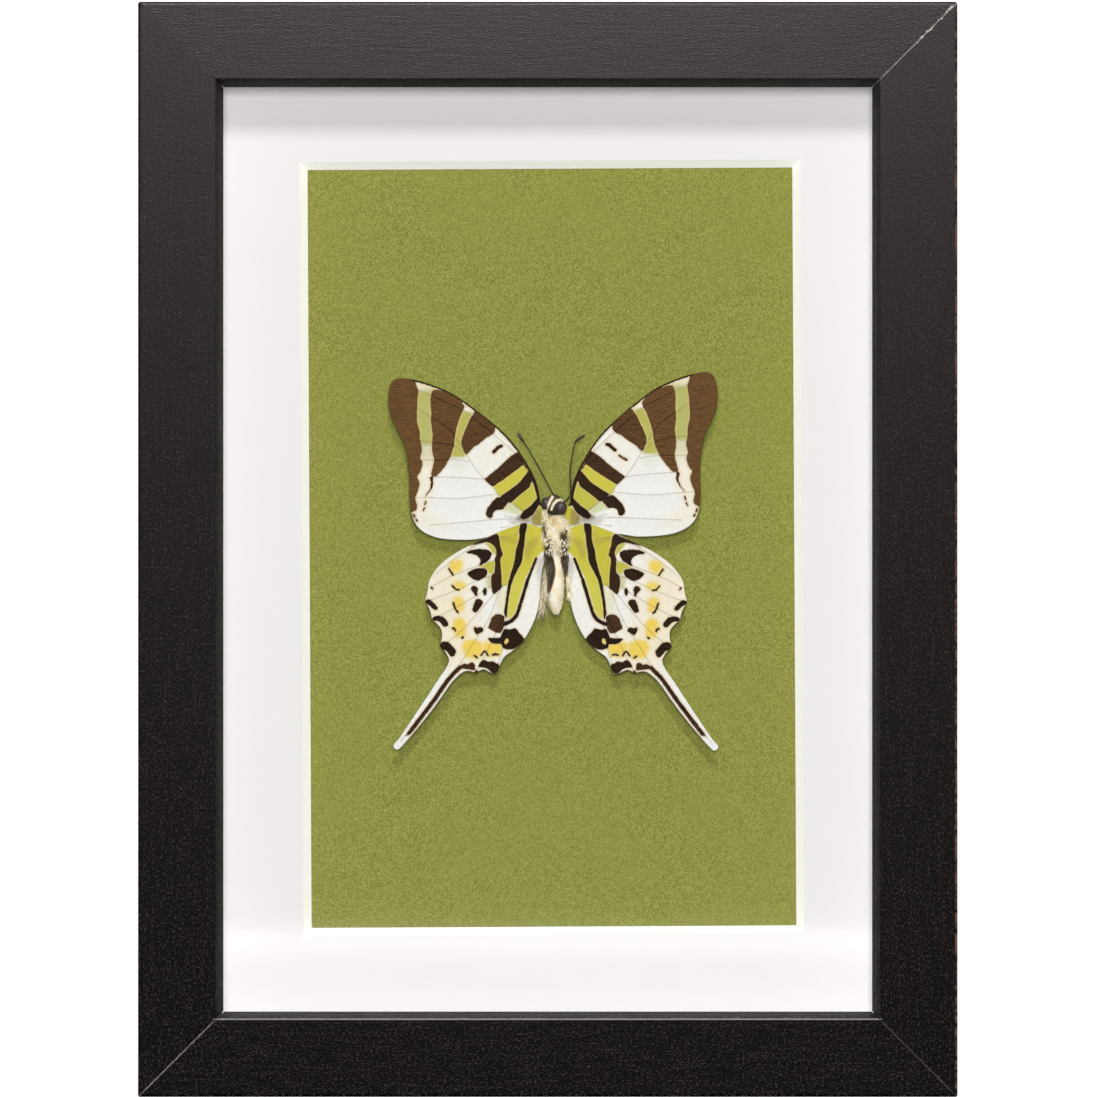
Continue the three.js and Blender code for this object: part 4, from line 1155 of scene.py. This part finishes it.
def hairs():
    """The coat of the body and the long hairs along the inner edge of the hindwings."""
    rng = np.random.default_rng(7)
    form = Form("tone")

    def coat(count, centre, radii, length, lay, tone_of):
        skin = rng.normal(0, 1, (count, 3))
        skin /= np.linalg.norm(skin, axis=1)[:, None]
        skin = skin[skin[:, 1] < 0.35]
        roots = skin * radii + centre
        aims = skin * 0.55 + lay + rng.normal(0, 0.28, skin.shape)
        tones = np.clip(tone_of(roots) + rng.normal(0, 0.1, len(roots)), 0, 1)
        strands(form, roots + SPECIMEN, aims, length * rng.uniform(0.6, 1.3, len(roots)), 0.09, tones, rng)

    coat(6500, THORAX, (2.5, 2.75, 4.3), 1.1, (0, 0.0, -0.75), body_tones)
    coat(4200, (0.15, BODY_Y, -10.6), (1.42, 1.5, 7.2), 0.6, (0, 0.1, -0.95), body_tones)
    coat(900, HEAD, (1.95, 1.8, 2.15), 0.5, (0, -0.4, -0.2), head_tones)

    def tuft(count, edge, low, high, near, far, tones, length, width, lean):
        """Hairs that start inside an edge seen from the front and hang down along the body."""
        edge = np.array(edge, float)
        spots = rng.uniform(edge.min(0), edge.max(0), (4 * count, 2))
        spots = spots[inside(spots, edge)][:count]
        n = len(spots)
        roots = np.column_stack((spots[:, 0], rng.uniform(near, far, n), spots[:, 1]))
        aims = np.column_stack((lean + rng.normal(0, 0.22, n), rng.normal(-0.1, 0.15, n), np.full(n, -1.0)))
        lengths = rng.uniform(low, high, n) * length
        strands(form, roots + SPECIMEN, aims, lengths, width, rng.choice(tones, n), rng)

    breast = (
        [(-2.5, -1.8), (-0.8, -2), (-0.6, -4.9), (-2, -4.9)],
        [(0.5, -2), (2.4, -1.8), (2.3, -4.9), (0.8, -4.9)])
    for edge in breast:
        tuft(120, edge, 0.5, 1.0, 1.4, 2.1, (0.0, 0.1, 0.3, 0.95, 1.0), 0.9, 0.26, 0.1)
    tuft(260, [(-2.6, -4.4), (-1.4, -4.9), (-0.5, -6.8), (-0.7, -12.5), (-1.3, -13.6), (-1.9, -9)],
         0.5, 1.0, 2.7, 3.4, (0.85, 0.95, 1.0, 0.75), 1.5, 0.16, -0.12)
    tuft(200, [(1.5, -4.6), (2.7, -5), (2.5, -8), (2, -10.8), (1.6, -9), (1.1, -6.6)],
         0.5, 1.0, 2.7, 3.4, (0.85, 0.95, 1.0, 0.75), 1.4, 0.16, 0.1)
    tuft(420, [(-1.5, -7.5), (-2.6, -8), (-3.6, -17.6), (-2.6, -17), (-1.6, -13)],
         0.5, 1.0, 4.2, 5.2, (0.02, 0.1, 0.45, 0.52, 0.64), 3.6, 0.1, -0.14)
    tuft(140, [(1.9, -8), (2.7, -8.4), (3.2, -14), (2.4, -14)],
         0.5, 1.0, 4.6, 5.2, (0.05, 0.2, 0.35), 2.6, 0.1, 0.12)
    tuft(70, [(-2.8, 2.6), (-2.2, 2.7), (-1.9, -2), (-2.6, -2)],
         0.4, 1.0, 1.9, 2.8, (0.85, 0.95, 1.0), 0.7, 0.13, -0.3)
    tuft(50, [(1.1, 0.4), (2.4, 0.4), (2.5, -2), (1, -2)],
         0.4, 1.0, 1.4, 2.0, (0.8, 0.9, 1.0), 0.8, 0.16, 0.2)
    tuft(160, [(-3.1, 4.6), (-1.9, 4.4), (-1.8, 2), (-3, 2)],
         0.5, 1.0, 2.2, 3.6, (0.05, 0.2, 0.35), 1.1, 0.14, -0.05)
    return form.piece("hair", body_hair(), "butterfly", "butterfly")


dress_frame()
WING_SCALES = wing_scales()
FOREWING = wing_chart(
    FOREWING_OUTLINE, FOREWING_DARK, FOREWING_LINES, FOREWING_VEINS, FOREWING_LIME, FOREWING_CREAM,
    [], FOREWING_BROWN_AND_SHADE, [])
HINDWING = wing_chart(
    HINDWING_OUTLINE, HINDWING_DARK, HINDWING_LINES, HINDWING_VEINS, HINDWING_LIME, HINDWING_CREAM,
    HINDWING_GOLD, HINDWING_BROWN_AND_SHADE, HINDWING_OPEN)
for side in SIDES:
    wing("forewing", side, FOREWING, FOREWING_Y, FOREWING_SET[side])
    wing("hindwing", side, HINDWING, HINDWING_Y, HINDWING_SET[side])
butterfly_body()
eyes()
limbs()
antennae()
hairs()


# Floor, light and camera

def studio():
    """A white floor that runs up into a white backdrop."""
    paint = Paint("studio_white", Roughness=0.9, Specular_IOR_Level=0.1)
    paint.set("Base Color", paint.mix(paint.noise(0.004), tint(244, 244, 244), tint(250, 250, 250)))
    behind = paint.axis("Y").ease(-150, 0)
    paint.set("Emission Color", paint.mix(behind, (0.2, 0.2, 0.2, 1), (1, 1, 1, 1)))
    paint.set("Emission Strength", 0.8)
    paint.material.cycles.emission_sampling = "NONE"
    sweep = [(-9000, 0), (9000, 0)] + [
        (9000 + 600 * math.sin(a), 600 - 600 * math.cos(a))
        for a in np.linspace(0.1, math.pi / 2, 14)] + [(9600, 6000)]
    points = [(x, y, z) for y, z in sweep for x in (-9000, 9000)]
    mesh = bpy.data.meshes.new("studio_sweep")
    mesh.from_pydata(np.array(points) * MM, [], [face[::-1] for face in grid_faces(len(sweep), 2, False)])
    mesh.polygons.foreach_set("use_smooth", [True] * len(mesh.polygons))
    mesh.materials.append(paint.material)
    floor = bpy.data.objects.new("studio_sweep", mesh)
    bpy.context.collection.objects.link(floor)
    floor.visible_glossy = False


def lamp(name, place, aim, width, height, power, lights):
    """A soft box at a place in metres, which lights matt faces or glossy ones."""
    light = bpy.data.lights.new(name, "AREA")
    light.shape, light.size, light.size_y, light.energy = "RECTANGLE", width, height, power
    obj = bpy.data.objects.new(name, light)
    obj.location = place
    obj.rotation_euler = (Vector(aim) - Vector(place)).to_track_quat("-Z", "Y").to_euler()
    obj.visible_glossy = obj.visible_transmission = lights != "matt"
    obj.visible_diffuse = lights != "glossy"
    bpy.context.collection.objects.link(obj)


def photograph():
    scene = bpy.context.scene
    camera = bpy.data.cameras.new("photograph")
    camera.sensor_width = 36
    camera.lens = 36 * CAMERA_AWAY / (PHOTO_PIXELS * PIXEL)
    camera.clip_end = 100
    obj = bpy.data.objects.new("photograph", camera)
    obj.location = Vector((PHOTO_CENTRE[0], FRAME_FRONT - CAMERA_AWAY, PHOTO_CENTRE[1])) * MM
    obj.rotation_euler = (math.pi / 2, 0, 0)
    bpy.context.collection.objects.link(obj)
    scene.camera = obj
    scene.view_settings.view_transform = "Standard"
    scene.view_settings.look = "None"
    world = bpy.data.worlds.new("room")
    world.use_nodes = True
    nodes, links = world.node_tree.nodes, world.node_tree.links
    seen, both, path = (nodes.new(f"ShaderNode{kind}") for kind in ("Background", "MixShader", "LightPath"))
    nodes["Background"].inputs["Color"].default_value = (1, 1, 1, 1)
    nodes["Background"].inputs["Strength"].default_value = 0.25
    seen.inputs["Color"].default_value = (1, 1, 1, 1)
    links.new(path.outputs["Is Camera Ray"], both.inputs[0])
    links.new(nodes["Background"].outputs[0], both.inputs[1])
    links.new(seen.outputs[0], both.inputs[2])
    links.new(both.outputs[0], nodes["World Output"].inputs["Surface"])
    world.cycles_visibility.glossy = False
    scene.world = world
    scene.cycles.max_bounces = 6
    scene.cycles.diffuse_bounces = 3
    scene.cycles.glossy_bounces = 3
    scene.cycles.transmission_bounces = 5
    scene.cycles.caustics_reflective = False
    scene.cycles.caustics_refractive = False


studio()
lamp("key", (0.02, -1.24, 0.72), (0, 0, 0.12), 0.16, 0.16, 8.0, "matt")
lamp("fill", (0.0, -2.6, 0.25), (0, 0, 0.12), 0.36, 0.4, 58.5, "matt")
lamp("sheen", (0.0, -0.28, 0.39), (0, 0, 0.2), 0.3, 0.06, 4.6, "glossy")
photograph()
